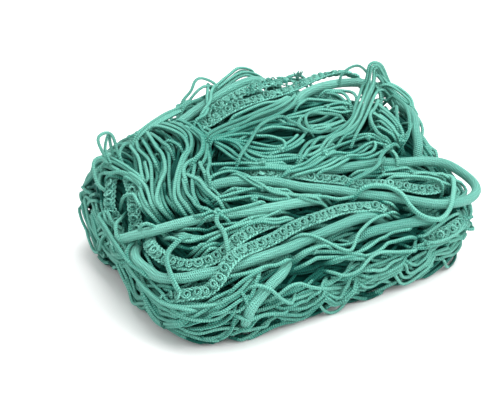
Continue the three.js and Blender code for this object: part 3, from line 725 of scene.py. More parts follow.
# Single strands that lie over the rest: radius, lift and route in plan
looseStrand = {"hold": 0.08, "shades": (0.45, 0.85)}
looseStrands = [
    (1.5, 7, [(-54, 40), (-50, 16), (-43, 10), (-39, 4), (-34, -18), (-27, -22), (22, -31)]),
    (1.6, 6, [(-56, 34), (-51, 14), (-44, -1), (-42, -10), (-32, -22), (2, -30)]),
    (1.5, 5, [(-55, 31), (-52, 19), (-41, -18), (-5, -34), (32, -27)]),
    (1.5, 8, [
        (-62, 20), (-44, 12), (-37, 12), (-24, 9), (-16, 3), (-7, -1), (0, -11), (-5, -18), (-30, -18),
    ]),
    (1.7, 8, [(-64, 20), (-52, 14), (-46, 12), (-37, 1), (-36, -17), (-20, -25)]),
    (1.5, 7, [(-60, 20), (-48, 14), (-41, 12), (-35, 6), (-27, 1), (-8, -13), (7, -11), (28, 2)]),
    (1.5, 7, [(-54, 16), (-41, 12), (-25, -8), (-3, -17), (16, -11), (28, -3), (52, 6)]),
    (1.5, 6, [(-46, 16), (-39, 7), (-24, -14), (9, -16), (30, -4)]),
    (1.5, 7, [(-42, 8), (-24, -19), (-6, -23), (12, -28), (30, -24), (54, -20)]),
    (1.4, 6, [(-84, -4), (-74, -6), (-28, -24), (1, -35), (28, -29), (52, -26)]),
    (1.5, 5, [(-70, -8), (-52, -19), (-31, -27), (2, -38), (50, -31)]),
    (1.4, 5, [(-84, -26), (-70, -19), (-54, -21), (-46, -31), (-34, -46)]),
    (1.4, 11, [(60, -5), (31, -11), (22, -4), (20, 4), (17, 8), (15, 15), (-6, 13), (-29, -4), (-56, -24)]),
    (1.5, 8, [(-6, -38), (-1, -31), (18, -18), (27, -16), (37, -17), (70, -10), (82, -4)]),
    (1.5, 8, [(-8, -36), (8, -28), (14, -24), (30, -22), (49, -19), (79, -25), (82, -30), (94, -50)]),
    (1.5, 7, [(-26, -36), (6, -34), (15, -31), (52, -24), (77, -26), (85, -36), (94, -44)]),
    (1.5, 8, [(-28, -38), (-15, -37), (6, -38), (34, -31), (49, -35), (75, -32), (92, -50)]),
    (1.5, 6, [(-22, -38), (-1, -41), (21, -40), (44, -35), (63, -35), (70, -33), (88, -34)]),
    (1.5, 8, [(0, -46), (22, -44), (40, -40), (47, -38), (60, -43), (94, -40)]),
    (1.5, 9, [(28, -36), (48, -38), (55, -40), (70, -39), (76, -33), (64, -24)]),
    (1.5, 9, [(104, 14), (103, -4), (104, -31), (96, -50)]),
    (1.5, 9, [(88, 8), (98, -24), (98, -39), (102, -50)]),
    (1.5, 8, [(129, 24), (126, 11), (122, -14), (107, -38), (90, -46)]),
    (1.4, 8, [(44, 12), (34, 12), (26, 7), (25, -1), (32, -7), (42, -9)]),
    (1.4, 8, [(106, 8), (98, -2), (90, -8), (86, -17), (90, -26)]),
    (1.4, 8, [(-57, -22), (-40, -42), (-37, -48), (-14, -62)]),
    (1.4, 8, [(86, -42), (64, -53), (37, -55)]),
    (2.1, 10, [
        (22, -72), (36, -69), (49, -70), (59, -75), (65, -83), (66, -91), (71, -98), (86, -103), (98, -100),
        (106, -94), (114, -86), (118, -77), (115, -68),
    ]),
    (1.8, 8, [(-80, -36), (-81, -48), (-87, -56), (-86, -64), (-96, -92)]),
    (1.5, 8, [(-106, -46), (-62, -54), (-34, -54)]),
    (1.5, 8, [(-108, -38), (-99, -42), (-95, -46), (-86, -47), (-81, -53), (-70, -64)]),
    (2, 8, [(-98, -52), (-118, -53), (-126, -56), (-134, -94)]),
    (1.4, 6, [(-124, -104), (-97, -103), (-83, -99), (-70, -97)]),
    (1.4, 6, [(-92, -99), (-91, -109), (-87, -113)]),
    (1.4, 7, [(-46, -82), (-27, -87), (0, -103), (14, -96), (35, -91), (58, -93)]),
    (1.4, 6, [(-50, -97), (-18, -96), (-10, -100), (-1, -103)]),
    (1.4, 7, [(58, -60), (104, -81), (107, -88), (104, -96)]),
    (1.4, 6, [(-146, -16), (-145, -62), (-141, -83), (-132, -96), (-120, -103)]),
    (1.5, 7, [(-104, 62), (-101, 50), (-104, 39), (-103, 21), (-115, -12), (-112, -32)]),
    (1.5, 8, [(-102, 60), (-107, 46), (-108, 30), (-114, 7), (-112, 6), (-103, 36)]),
    (1.5, 8, [(-97, 58), (-98, 39), (-102, 2)]),
    (1.6, 9, [(-88, 64), (-93, 30), (-93, 18), (-99, 2), (-105, -3), (-113, -13), (-114, -21), (-110, -33)]),
    (1.5, 4, [(-90, 44), (-87, 23), (-99, -3), (-104, -20), (-104, -34)]),
    (1.6, 9, [(-92, 66), (-85, 56), (-80, 51), (-71, 28), (-75, 11), (-81, 7), (-103, -23), (-100, -44)]),
    (1.6, 9, [(-74, 62), (-64, 33), (-70, 15), (-82, 4), (-99, -21), (-98, -36), (-94, -46)]),
    (1.7, 10, [(-68, 50), (-64, 40), (-61, 12), (-70, 1), (-85, -3), (-91, -19), (-91, -28)]),
    (2, 11, [(-68, 44), (-62, 33), (-60, 16), (-68, 2), (-80, -4), (-88, -10)]),
    (1.6, 10, [(-92, 2), (-88, -5), (-87, -11), (-82, -21), (-81, -31), (-73, -56)]),
    (1.5, 9, [(-58, 18), (-67, -9), (-72, -15), (-77, -28), (-84, -34)]),
    (1.5, 9, [(-70, 6), (-90, -26), (-91, -38), (-86, -46)]),
    (1.5, 10, [(-66, 6), (-74, -7), (-76, -20), (-82, -27)]),
    (1.5, 9, [(-86, 1), (-94, -25), (-93, -31), (-93, -37), (-86, -47), (-76, -52)]),
    (1.5, 7, [(-128, 34), (-123, 28), (-118, 9), (-120, -5), (-120, -26)]),
    (1.5, 8, [(-127, 34), (-122, 28), (-115, 5), (-118, -16), (-117, -28)]),
    (1.5, 6, [(-117, 17), (-122, -6), (-120, -33)]),
    (1.5, 8, [(-141, 18), (-124, 5), (-124, 0), (-125, -19)]),
    (1.5, 7, [(-140, 48), (-134, 44), (-120, 24)]),
    (1.5, 7, [(-120, 70), (-125, 41), (-118, 20)]),
    (1.5, 7, [(-118, 72), (-121, 50), (-114, 16)]),
    (1.5, 10, [(-136, 12), (-140, -3), (-146, -24)]),
    (1.5, 11, [(-143, -24), (-134, -22), (-125, -27), (-121, -40)]),
    (1.4, 8, [(-137, -12), (-139, -19), (-144, -30), (-139, -66)]),
    (1.5, 10, [(116, 10), (97, -6), (90, -9), (84, -29), (98, -44)]),
    (1.5, 9, [(92, 0), (97, -19), (100, -44)]),
    (1.5, 8, [(90, -4), (93, -13), (99, -46)]),
    (1.5, 8, [(98, 4), (101, -5), (103, -25), (100, -44)]),
    (1.5, 9, [(80, -12), (89, -23), (97, -40), (102, -46)]),
    (1.5, 5, [(124, 6), (119, -6), (107, -25), (98, -44)]),
    (1.5, 6, [(120, -16), (116, -30), (94, -44)]),
    (1.6, 11, [(104, -42), (82, -43), (70, -48), (63, -54), (18, -62)]),
    (1.5, 9, [(78, -34), (85, -46), (80, -66)]),
    (1.5, 5, [(30, 20), (38, 30), (66, 46), (82, 37), (85, 27), (80, 4)]),
    (1.5, 6, [(68, 44), (86, 37), (90, 31), (82, 2)]),
    (1.5, 6, [(62, 42), (74, 42), (94, 36), (98, 28), (90, 6)]),
    (1.5, 5, [(40, 40), (53, 37), (82, 20), (92, 2)]),
    (1.5, 6, [(20, 8), (32, 14), (57, 18), (75, 7), (94, 8)]),
    (1.4, 8, [(78, -4), (65, -7), (33, -7), (30, -1), (38, 14), (46, 16), (53, 12), (62, 8), (76, -8)]),
    (1.5, 9, [(-66, 8), (-48, 18), (-19, 22), (-8, 25), (18, 29), (42, 38), (54, 46)]),
    (1.5, 9, [(-66, 12), (-48, 22), (-3, 29), (35, 37), (48, 44)]),
    (1.5, 9, [(-66, 4), (-49, 14), (-39, 14), (-16, 18), (7, 20), (31, 28), (52, 44)]),
    (1.5, 8, [(-36, 30), (11, 37), (22, 36), (48, 44)]),
    (1.5, 11, [(-10, 86), (-29, 61), (-42, 42), (-56, 37), (-64, 30)]),
    (1.5, 11, [(-8, 80), (-16, 70), (-24, 63), (-31, 53), (-58, 34)]),
    (1.5, 7, [(-112, -90), (-82, -96), (-68, -96), (-62, -97), (-38, -95)]),
    (1.5, 7, [(-112, -106), (-102, -101), (-60, -94)]),
    (1.5, 7, [(-66, -90), (-89, -107), (-93, -109), (-98, -118)]),
    (1.5, 7, [(-96, -92), (-94, -99), (-94, -106), (-86, -118)]),
    (1.5, 5, [(-126, -32), (-111, -55), (-102, -59), (-48, -66)]),
    (1.5, 5, [
        (-90, -34), (-72, -38), (-36, -43), (-25, -52), (-6, -61), (5, -64), (16, -69), (32, -68), (42, -62),
    ]),
    (1.5, 5, [(-88, -36), (-67, -43), (-48, -47), (-35, -55), (-10, -60)]),
    (1.5, 7, [(-60, -14), (-41, -43), (-4, -63), (10, -67)]),
    (1.5, 9, [(-146, 36), (-146, -2), (-144, -40)]),
    (1.5, 10, [(-144, 34), (-144, -34), (-142, -48)]),
    (1.5, 8, [(-142, 54), (-136, 45), (-132, 45), (-128, 37), (-122, 28), (-118, 16), (-116, -8)]),
    (1.5, 8, [(-140, 58), (-131, 51), (-125, 49), (-115, 10), (-114, -4)]),
    (1.5, 8, [(-126, 68), (-122, 55), (-121, 45), (-115, 12), (-114, -2)]),
    (1.5, 7, [(-146, 56), (-135, 52), (-130, 53), (-118, 6)]),
    (1.5, 6, [(104, -76), (121, -82), (127, -83), (129, -87), (118, -93), (98, -90)]),
    (1.5, 7, [(98, -70), (109, -75), (117, -83), (114, -90), (105, -94), (96, -100)]),
    (1.5, 6, [(88, -76), (100, -79), (107, -83), (120, -89), (102, -96)]),
    (1.5, 8, [(-104, 66), (-105, 56), (-115, 48), (-122, 30)]),
    (1.5, 9, [(-96, 60), (-89, 44), (-87, 30), (-85, 22), (-86, 10)]),
    (1.5, 7, [(-96, 36), (-82, 32), (-77, 17), (-80, 6)]),
    (1.5, 9, [(-82, 66), (-68, 32), (-74, 12)]),
    (1.5, 10, [(-72, 60), (-61, 41), (-57, 14), (-62, 4)]),
    (1.5, 9, [(-55, 24), (-57, 14), (-67, -3), (-86, -14)]),
    (1.5, 4, [(-117, -64), (-103, -66), (-89, -67), (-82, -67)]),
    (1.5, 4, [(-114, -68), (-99, -69), (-85, -70)]),
    (1.5, 5, [(-112, -62), (-97, -64), (-87, -64), (-73, -65)]),
    (1.5, 5, [(-118, -58), (-113, -61), (-108, -63), (-89, -64)]),
    (1.5, 10, [(-98, -104), (-84, -104), (-60, -116), (-48, -118)]),
    (1.5, 10, [(-112, -112), (-84, -116), (-70, -121), (-56, -124)]),
]

# Loops that stand up out of the heap, in space
standingLoop = {"hold": 0.07, "shades": (0.5, 0.9)}
standingLoops = [
    [(-52, 68, 112), (-49, 72, 124), (-40, 72, 133), (-35, 73, 141), (-29, 73, 142), (-17, 70, 134),
     (-22, 68, 129), (-25, 66, 122), (-23, 64, 116), (-30, 58, 110)],
    [(-50, 68, 114), (-44, 70, 124), (-30, 70, 135), (-12, 74, 130)],
    [(-56, 64, 112), (-50, 65, 123), (-35, 66, 126), (-27, 68, 122)],
    [(-28, 70, 122), (-18, 72, 131), (2, 78, 139), (11, 80, 142), (27, 84, 136), (32, 85, 129),
     (39, 85, 125), (50, 84, 116)],
    [(-30, 68, 120), (-20, 70, 128), (12, 78, 138), (30, 84, 132), (40, 84, 125), (52, 80, 116)],
    [(-26, 72, 118), (-16, 73, 128), (4, 79, 135), (13, 81, 138), (22, 83, 136), (31, 84, 129),
     (40, 82, 120)],
    [(-24, 66, 120), (-14, 70, 127), (17, 79, 135), (36, 83, 124), (44, 80, 116)],
    [(20, 84, 122), (32, 84, 127), (42, 84, 122), (64, 85, 122), (75, 84, 119), (82, 82, 118), (92, 78, 110)],
    [(24, 80, 118), (36, 81, 123), (48, 82, 121), (70, 82, 119), (84, 78, 112)],
    [(52, 80, 114), (60, 82, 122), (76, 81, 124), (90, 76, 110)],
    [(-119, 46, 92), (-126, 45, 121), (-131, 45, 123), (-137, 45, 120), (-130, 44, 96)],
    [(-123, 49, 96), (-126, 48, 112), (-127, 47, 121), (-132, 45, 109), (-129, 42, 96)],
    [(-132, 42, 98), (-138, 41, 105), (-144, 40, 103), (-144, 36, 86), (-138, 34, 78)],
    [(138, 18, 108), (136, 22, 121), (132, 22, 128), (124, 22, 142), (117, 22, 146), (111, 22, 145),
     (108, 22, 132), (104, 22, 125), (91, 10, 121), (81, 1, 117), (72, -8, 113), (39, -20, 107),
     (28, -21, 108), (14, -25, 98)],
    [(128, 20, 112), (122, 21, 137), (115, 20, 142), (113, 18, 130), (92, 1, 121), (73, -15, 112),
     (53, -22, 108), (41, -25, 108), (26, -29, 98)],
    [(134, 18, 110), (131, 20, 122), (117, 20, 144), (112, 20, 143), (109, 20, 129), (88, 2, 120),
     (58, -19, 109), (34, -25, 107), (20, -30, 97)],
    [(130, 18, 110), (128, 19, 121), (116, 19, 136), (114, 19, 132), (114, 19, 126), (103, 9, 123),
     (63, -21, 107), (53, -23, 106), (40, -27, 97)],
    [(126, 20, 112), (123, 20, 124), (121, 20, 122), (116, 16, 121), (102, 2, 123), (78, -16, 112),
     (63, -26, 106), (54, -31, 97)],
    [(104, 2, 94), (108, 8, 102), (112, 12, 106), (119, 16, 110), (127, 18, 111), (132, 14, 106),
     (134, 8, 97)],
    [(124, -4, 88), (127, 0, 95), (128, 4, 101), (130, 8, 106), (129, 16, 116), (125, 18, 120)],
    [(122, 21, 123), (124, 18, 113), (119, 14, 109), (111, 10, 107), (104, 4, 100)],
    [(-104, 56, 98), (-98, 60, 108), (-69, 68, 118), (-52, 68, 122), (-45, 70, 125), (-38, 70, 122)],
    [(-104, 54, 98), (-97, 56, 108), (-77, 62, 116), (-49, 68, 121), (-44, 70, 124), (-36, 70, 120)],
    [(-92, 58, 104), (-86, 58, 112), (-51, 66, 120), (-44, 66, 122), (-36, 66, 118)],
    [(108, 28, 112), (116, 25, 121), (120, 22, 125), (127, 20, 126), (137, 13, 122), (145, 5, 113),
     (144, 0, 107), (138, -6, 98)],
    [(112, 26, 110), (119, 23, 118), (122, 20, 124), (128, 16, 125), (141, 8, 115), (144, 3, 110),
     (140, -4, 100)],
    [(118, 24, 138), (123, 22, 130), (138, 7, 110), (144, 2, 108), (146, -6, 100)],
    [(132, 4, 100), (139, -6, 104), (142, -18, 93), (130, -28, 82)],
    [(110, 22, 112), (116, 23, 120), (119, 22, 138), (121, 22, 139), (123, 21, 134), (130, 18, 123),
     (132, 14, 112)],
    [(104, 10, 104), (111, 16, 115), (122, 18, 121), (133, 16, 113), (126, -4, 92)],
    [(104, 0, 96), (111, 6, 104), (118, 12, 110), (119, 17, 121), (116, 20, 126)],
    [(112, 20, 124), (129, 20, 119), (139, 16, 110), (144, 9, 100), (140, 2, 92)],
    [(118, 22, 124), (134, 20, 120), (139, 18, 115), (147, 10, 107), (147, 5, 105), (142, -2, 98)],
    [(114, 18, 112), (125, 16, 112), (142, 6, 99), (141, 0, 93), (134, -8, 88)],
    [(140, -24, 70), (144, -20, 75), (149, -18, 77), (149, -18, 67), (144, -24, 64)],
    [(-144, 6, 60), (-149, 10, 66), (-149, 12, 73), (-147, 10, 72), (-146, 6, 66), (-140, 0, 60)],
    [(92, 42, 122), (96, 41, 134), (111, 40, 139), (124, 40, 128), (126, 40, 118)],
    [(130, 10, 115), (137, 11, 106), (140, 10, 98), (141, 8, 91), (137, 4, 84), (132, 0, 79)],
    [(135, 10, 111), (142, 11, 102), (145, 10, 93), (144, 7, 86), (139, 3, 80), (131, -2, 77)],
    [(142, -8, 64), (145, -10, 72), (147, -13, 75), (148, -17, 71), (147, -20, 64), (142, -22, 58)],
    [(142, -20, 62), (146, -24, 70), (148, -28, 72), (148, -31, 66), (143, -34, 58)],
    [(142, -30, 58), (146, -34, 66), (148, -37, 67), (147, -40, 61), (142, -44, 54)],
]
print("routes read")


def pieceOfWalk(walk, low, high):
    count = len(walk)
    return walk[int(low * (count - 1)):int(high * (count - 1)) + 1]


def wander(count, reach, bends):                       # a smooth random drift along a strand
    t = np.linspace(0, 1, count)
    drift = np.zeros(count)
    for k in range(1, bends + 1):
        drift += luck.normal(0, 1 / k) * np.sin(math.pi * k * t + luck.uniform(0, fullTurn))
    return reach * drift


strands = []                                           # each one: path, group, hold, stands, shade and radius
knots = []                                             # strand, step, strand, step


def addStrand(path, group, hold, shade=None, radius=None, stands=False):
    strands.append({
        "path": path, "group": group, "hold": hold, "stands": stands,
        "shade": luck.uniform(*twine["shades"]) if shade is None else shade,
        "radius": twine["radius"] * luck.uniform(*twine["radiusSpread"]) if radius is None else radius,
    })
    return len(strands) - 1


def fromEnds(far, reach):                              # nought at both ends of a strand, one past the reach
    return np.clip(np.minimum(far, far[-1] - far) / reach, 0, 1)


def layFold(row, group):
    count, pitch, rise, widths, route = row
    walk = smoothRoute(route, twine["step"])
    t = np.linspace(0, 1, len(walk))
    heading = unit(np.gradient(walk, axis=0))
    across = np.stack([heading[:, 1], -heading[:, 0]], -1)
    spread = np.interp(t, [0, fold["widest"], 1], widths)
    far = t * (len(walk) - 1) * twine["step"]
    ends = fromEnds(far, twine["sink"])
    cells = max(round(far[-1] / twine["cell"]), 1)
    start = luck.uniform(0, 2)
    made = []
    for s in range(count):
        place = s - (count - 1) / 2
        pull = (1 if s % 2 else -1) * np.cos(math.pi * (cells * t + start + luck.normal(0, fold["uneven"])))
        drift = wander(len(walk), fold["stray"], fold["bends"])
        offset = pitch * spread * (place + twine["pull"] * pull) + drift
        crown = 1 - fold["crown"] * (2 * place / count) ** 2
        lift = rise * crown + fold["base"] + wander(len(walk), fold["stray"], fold["heaves"])
        lift = lift * ends + twine["sunk"] * (1 - ends)
        full = np.concatenate([walk + across * offset[:, None], lift[:, None]], 1)
        low, high = luck.uniform(0, fold["trim"]), luck.uniform(1 - fold["trim"], 1)
        cut = pieceOfWalk(full, low, high)
        cut[[0, -1], 2] = twine["sunk"]
        made.append((addStrand(laid(cut), group, fold["hold"]), int(low * (len(walk) - 1))))
    for s in range(count - 1):
        for cell in range(cells + 1):
            at = (cell + (s % 2)) / cells
            step = int((at - start / cells) % 1.0 * (len(walk) - 1))
            pair = []
            for strand, skipped in made[s:s + 2]:
                pair += [strand, step - skipped]
            lengths = [len(strands[strand]["path"]) - 1 for strand in pair[::2]]
            fits = all(fold["clear"] < i < length - fold["clear"] for i, length in zip(pair[1::2], lengths))
            if fits and luck.random() < fold["tied"]:
                knots.append(pair)


def wallPlace(turn, down):
    plan = np.array([math.cos(math.radians(turn)), math.sin(math.radians(turn))])
    plan = plan / outlineNorm(plan[0], plan[1])
    return plan * (1 + down / np.linalg.norm(plan))


for group, rows in (("falls", falls), ("fans", fans), ("fronts", fronts), ("backs", backs)):
    for row in rows:
        layFold(row, group)
for turn, spread, drop in swags:
    top = swagFold["top"]
    route = [wallPlace(turn - spread, top), wallPlace(turn, drop), wallPlace(turn + spread, top)]
    layFold((swagFold["strands"], swagFold["pitch"], swagFold["rise"], swagFold["widths"], route), "walls")
for radius, lift, route in looseStrands:
    walk = smoothRoute(route, twine["step"])
    ends = fromEnds(np.arange(len(walk)) * twine["step"], twine["sink"])
    full = np.concatenate([walk, (lift * ends + twine["sunk"] * (1 - ends))[:, None]], 1)
    addStrand(laid(full), "loose", looseStrand["hold"], luck.uniform(*looseStrand["shades"]), radius)
for route in standingLoops:
    path = smoothRoute(route, twine["step"])
    addStrand(path, "loose", standingLoop["hold"], luck.uniform(*standingLoop["shades"]), stands=True)
print("folds and loops", len(strands), "strands", len(knots), "knots")

# Layers under the folds follow the same flow

flow = {
    "cell": 4.0, "reach": 15.0, "halfX": 300, "halfY": 260, "sample": 8.0,
    "ripple": 0.35, "waves": (0.05, 0.06), "edge": 0.97, "wallPull": 3.0, "topPull": 0.05,
    "sway": 0.25, "swayRate": 0.25, "turn": 0.25,
}
flowPlaces, flowTurns = [], []
for rows in (falls, fans, fronts, backs):
    for row in rows:
        walk = smoothRoute(row[-1], flow["sample"])
        heading = np.gradient(walk, axis=0)
        flowPlaces.append(walk)
        flowTurns.append(np.arctan2(heading[:, 1], heading[:, 0]))
flowPlaces = np.concatenate(flowPlaces)
flowTurns = np.concatenate(flowTurns)
gridX = np.arange(-flow["halfX"], flow["halfX"] + 1, flow["cell"])
gridY = np.arange(-flow["halfY"], flow["halfY"] + 1, flow["cell"])
meshX, meshY = np.meshgrid(gridX, gridY, indexing="ij")
cosines, sines = np.zeros_like(meshX), np.zeros_like(meshX)
for place, turn in zip(flowPlaces, flowTurns):
    near = np.exp(-((meshX - place[0]) ** 2 + (meshY - place[1]) ** 2) / (2 * flow["reach"] ** 2))
    cosines += near * math.cos(2 * turn)
    sines += near * math.sin(2 * turn)
slopeX = outlineNorm(meshX + 1, meshY) - outlineNorm(meshX - 1, meshY)
slopeY = outlineNorm(meshX, meshY + 1) - outlineNorm(meshX, meshY - 1)
ripple = flow["ripple"] * np.sin(meshX * flow["waves"][0] + 1) * np.cos(meshY * flow["waves"][1])
around = np.arctan2(slopeX, -slopeY) + ripple
onWall = np.where(outlineNorm(meshX, meshY) > flow["edge"], flow["wallPull"], flow["topPull"])
flowAngle = 0.5 * np.arctan2(sines + onWall * np.sin(2 * around), cosines + onWall * np.cos(2 * around))


def gridCell(plan):
    i = np.clip(((plan[..., 0] + flow["halfX"]) / flow["cell"]).round().astype(int), 0, len(gridX) - 1)
    j = np.clip(((plan[..., 1] + flow["halfY"]) / flow["cell"]).round().astype(int), 0, len(gridY) - 1)
    return i, j


def streams(seeds, steps, lean):                       # walks that follow the flow both ways from their seeds
    halves = []
    for way in (-1, 1):
        plan = seeds.copy()
        turn = flowAngle[gridCell(plan)] + (0 if way > 0 else math.pi)
        walk = [plan.copy()]
        for k in range(steps):
            sway = flow["sway"] * np.sin(flow["swayRate"] * k + seeds[:, 0])
            wanted = flowAngle[gridCell(plan)] + lean + sway
            flip = np.cos(wanted - turn) < 0
            wanted = np.where(flip, wanted + math.pi, wanted)
            bend = (wanted - turn + math.pi) % fullTurn - math.pi
            turn = turn + np.clip(bend, -flow["turn"], flow["turn"])
            plan = plan + twine["step"] * np.stack([np.cos(turn), np.sin(turn)], -1)
            walk.append(plan.copy())
        halves.append(np.stack(walk, 1))
    return np.concatenate([halves[0][:, :0:-1], halves[1]], 1)


buried = {
    "batch": 40, "tries": 400, "crowd": 1, "wallDrops": (2, 84), "foot": 4,
    "halfX": 142, "halfY": 108, "edge": 0.98, "steps": 22, "lean": 0.14, "busy": 0.45,
    "trim": 10, "lowest": 2.2, "stray": 0.9, "bends": 3, "sink": 9, "sunk": 5, "hold": 0.03,
}
# the lower layers get darker shades, a painted shade for strands lying under the rest
buriedLayers = [                                       # group, lift, strands, on the wall or on top, shades
    ("under", -9.0, 210, False, (0.0, 0.15)), ("under", -5.0, 190, False, (0.05, 0.4)),
    ("walls", -3.0, 300, True, (0.0, 0.3)), ("walls", 1.0, 230, True, (0.2, 0.8)),
]


def layUnder(group, lift, total, wall, shades):
    cover = np.zeros(meshX.shape)
    made, tries = 0, 0
    while made < total and tries < buried["tries"]:
        tries += 1
        if wall:
            turns = luck.uniform(0, 360, buried["batch"])
            seeds = np.array([wallPlace(turn, luck.uniform(*buried["wallDrops"])) for turn in turns])
            seeds = seeds[skinPoint(seeds[:, 0], seeds[:, 1])[:, 2] > buried["foot"]]
        else:
            far = np.array([buried["halfX"], buried["halfY"]])
            seeds = luck.uniform(-far, far, (buried["batch"], 2))
            seeds = seeds[outlineNorm(seeds[:, 0], seeds[:, 1]) < buried["edge"]]
        seeds = seeds[cover[gridCell(seeds)] < buried["crowd"]]
        if not len(seeds):
            continue
        walks = streams(seeds, buried["steps"], luck.normal(0, buried["lean"], len(seeds)))
        for walk in walks:
            busy = cover[gridCell(walk)] >= buried["crowd"]
            if busy.mean() > buried["busy"]:
                continue
            low = luck.integers(0, buried["trim"])
            high = len(walk) - luck.integers(0, buried["trim"])
            walk = walk[low:high]
            height = skinPoint(walk[:, 0], walk[:, 1])[:, 2]
            if height.min() < buried["lowest"]:
                continue
            cover[gridCell(walk)] += 1
            rise = lift + wander(len(walk), buried["stray"], buried["bends"])
            ends = fromEnds(np.arange(len(walk)) * twine["step"], buried["sink"])
            rise = rise * ends + (lift - buried["sunk"]) * (1 - ends)
            path = laid(np.concatenate([walk, rise[:, None]], 1))
            addStrand(path, group, buried["hold"], luck.uniform(*shades))
            made += 1
    print(group, made, "strands under")


for layer in buriedLayers:
    layUnder(*layer)

leftLean = {"from": -130, "share": 0.5, "low": 40, "high": 70}   # high up, the left wall leans in a little
for strand in strands:
    if strand["group"] != "loose":
        x, z = strand["path"][:, 0], strand["path"][:, 2]
        over = np.minimum(x - leftLean["from"], 0)
        upper = np.clip((z - leftLean["low"]) / (leftLean["high"] - leftLean["low"]), 0, 1)
        x -= leftLean["share"] * over * upper

# Places where the strands dip and their colour is painted darker as shade: x, y and reach
hollow = {"depth": 4, "paintedShade": 0.9}
hollows = [
    (-86, 16, 6), (-90, 8, 6), (-95, 1, 6), (-104, -10, 5), (-49, -2, 6), (-52, -10, 6), (-50, -19, 5),
    (-78, -41, 5), (-122, -1, 5), (-127, 25, 6), (-86, 53, 5), (-93, -52, 5), (-116, -61, 4), (-80, 7, 5),
    (44, -86, 7), (35, -44, 7), (59, -38, 6), (15, -14, 6), (5, -15, 6), (-4, -54, 5), (-89, 33, 5),
    (-51, 9, 5), (-2, 40, 4.5), (-20, 22, 4.5), (16, 20, 4.5), (-28, 31, 4), (27, 1, 4.5), (32, -12, 5),
    (43, -20, 4.5), (-35, -25, 4.5), (-61, -16, 5), (140, 8, 6), (-1, 40, 5), (6, 40, 4), (25, 45, 4),
    (-22, 38, 4),
]
# Wider places where the twine's colour is painted lighter or darker as light and shade: x, y, reach and how
# much
paintedLightPatches = [
    (-72, 22, 38, -0.24), (-45, 0, 34, -0.30), (0, -8, 40, -0.24), (45, -15, 30, -0.22),
    (-138, 10, 30, 0.30), (112, -100, 30, 0.30), (-15, -62, 18, 0.20), (-52, -14, 12, -0.30),
    (-4, -54, 12, -0.30), (56, -42, 14, -0.30), (33, -82, 14, -0.30), (-20, 25, 12, -0.30),
    (12, 14, 12, -0.25), (-75, -62, 12, -0.30),
]


def nearness(path, x, y, reach):
    return np.exp(-((path[:, 0] - x) ** 2 + (path[:, 1] - y) ** 2) / reach ** 2)


for strand in strands:
    path = strand["path"]
    near = np.zeros(len(path))
    if strand["group"] != "loose":
        for x, y, reach in hollows:
            near += nearness(path, x, y, reach)
    path[:, 2] -= hollow["depth"] * near
    # painted shade where a strand passes near a hollow
    strand["paintedShade"] = hollow["paintedShade"] * near
    # painted light and shade over the wider patches
    for x, y, reach, paintedLight in paintedLightPatches:
        strand["paintedShade"] -= paintedLight * nearness(path, x, y, reach)

# Settling: strands keep their length, give way to each other and rest on the dark middle

settle = {
    "rounds": 56, "rebuild": 6, "report": 20, "search": 9.0, "slack": 1.8, "least": 1e-6,
    "contact": 2.6, "bandRadius": 3.6, "bandShift": 0.1, "slipSteps": 4, "slipRadius": -9, "push": 0.42,
    "sinkRate": 0.04, "knotGap": 2.7, "knotDraw": 0.25, "passes": 2, "stretch": 0.45, "straighten": 0.42,
    "core": 13.0, "wallCore": 0.92, "coreGap": 1.5, "steep": 110, "ease": 0.5, "leastNorm": 0.2,
    "low": (-152, -116, 1.6), "high": (149, 116, 151),
}


def coreTop(x, y):
    return heapHeight(x, y) - settle["core"]


def closePairs(place, reach):
    cell = np.floor(place / reach).astype(np.int64)
    cell -= cell.min(0) - 1
    span = cell.max(0) + 2
    key = (cell[:, 0] * span[1] + cell[:, 1]) * span[2] + cell[:, 2]
    order = np.argsort(key, kind="stable")
    ordered = key[order]
    firsts, seconds = [], []
    everyone = np.arange(len(place))
    for dx in (-1, 0, 1):
        for dy in (-1, 0, 1):
            for dz in (-1, 0, 1):
                shift = (dx * span[1] + dy) * span[2] + dz
                if shift < 0:
                    continue
                low = np.searchsorted(ordered, key + shift, "left")
                count = np.searchsorted(ordered, key + shift, "right") - low
                first = np.repeat(everyone, count)
                skip = np.arange(count.sum()) - np.repeat(np.cumsum(count) - count, count)
                second = order[np.repeat(low, count) + skip]
                if shift == 0:
                    keep = first < second
                    first, second = first[keep], second[keep]
                firsts.append(first)
                seconds.append(second)
    first, second = np.concatenate(firsts), np.concatenate(seconds)
    near = np.sum((place[first] - place[second]) ** 2, -1) < reach * reach
    return first[near], second[near]


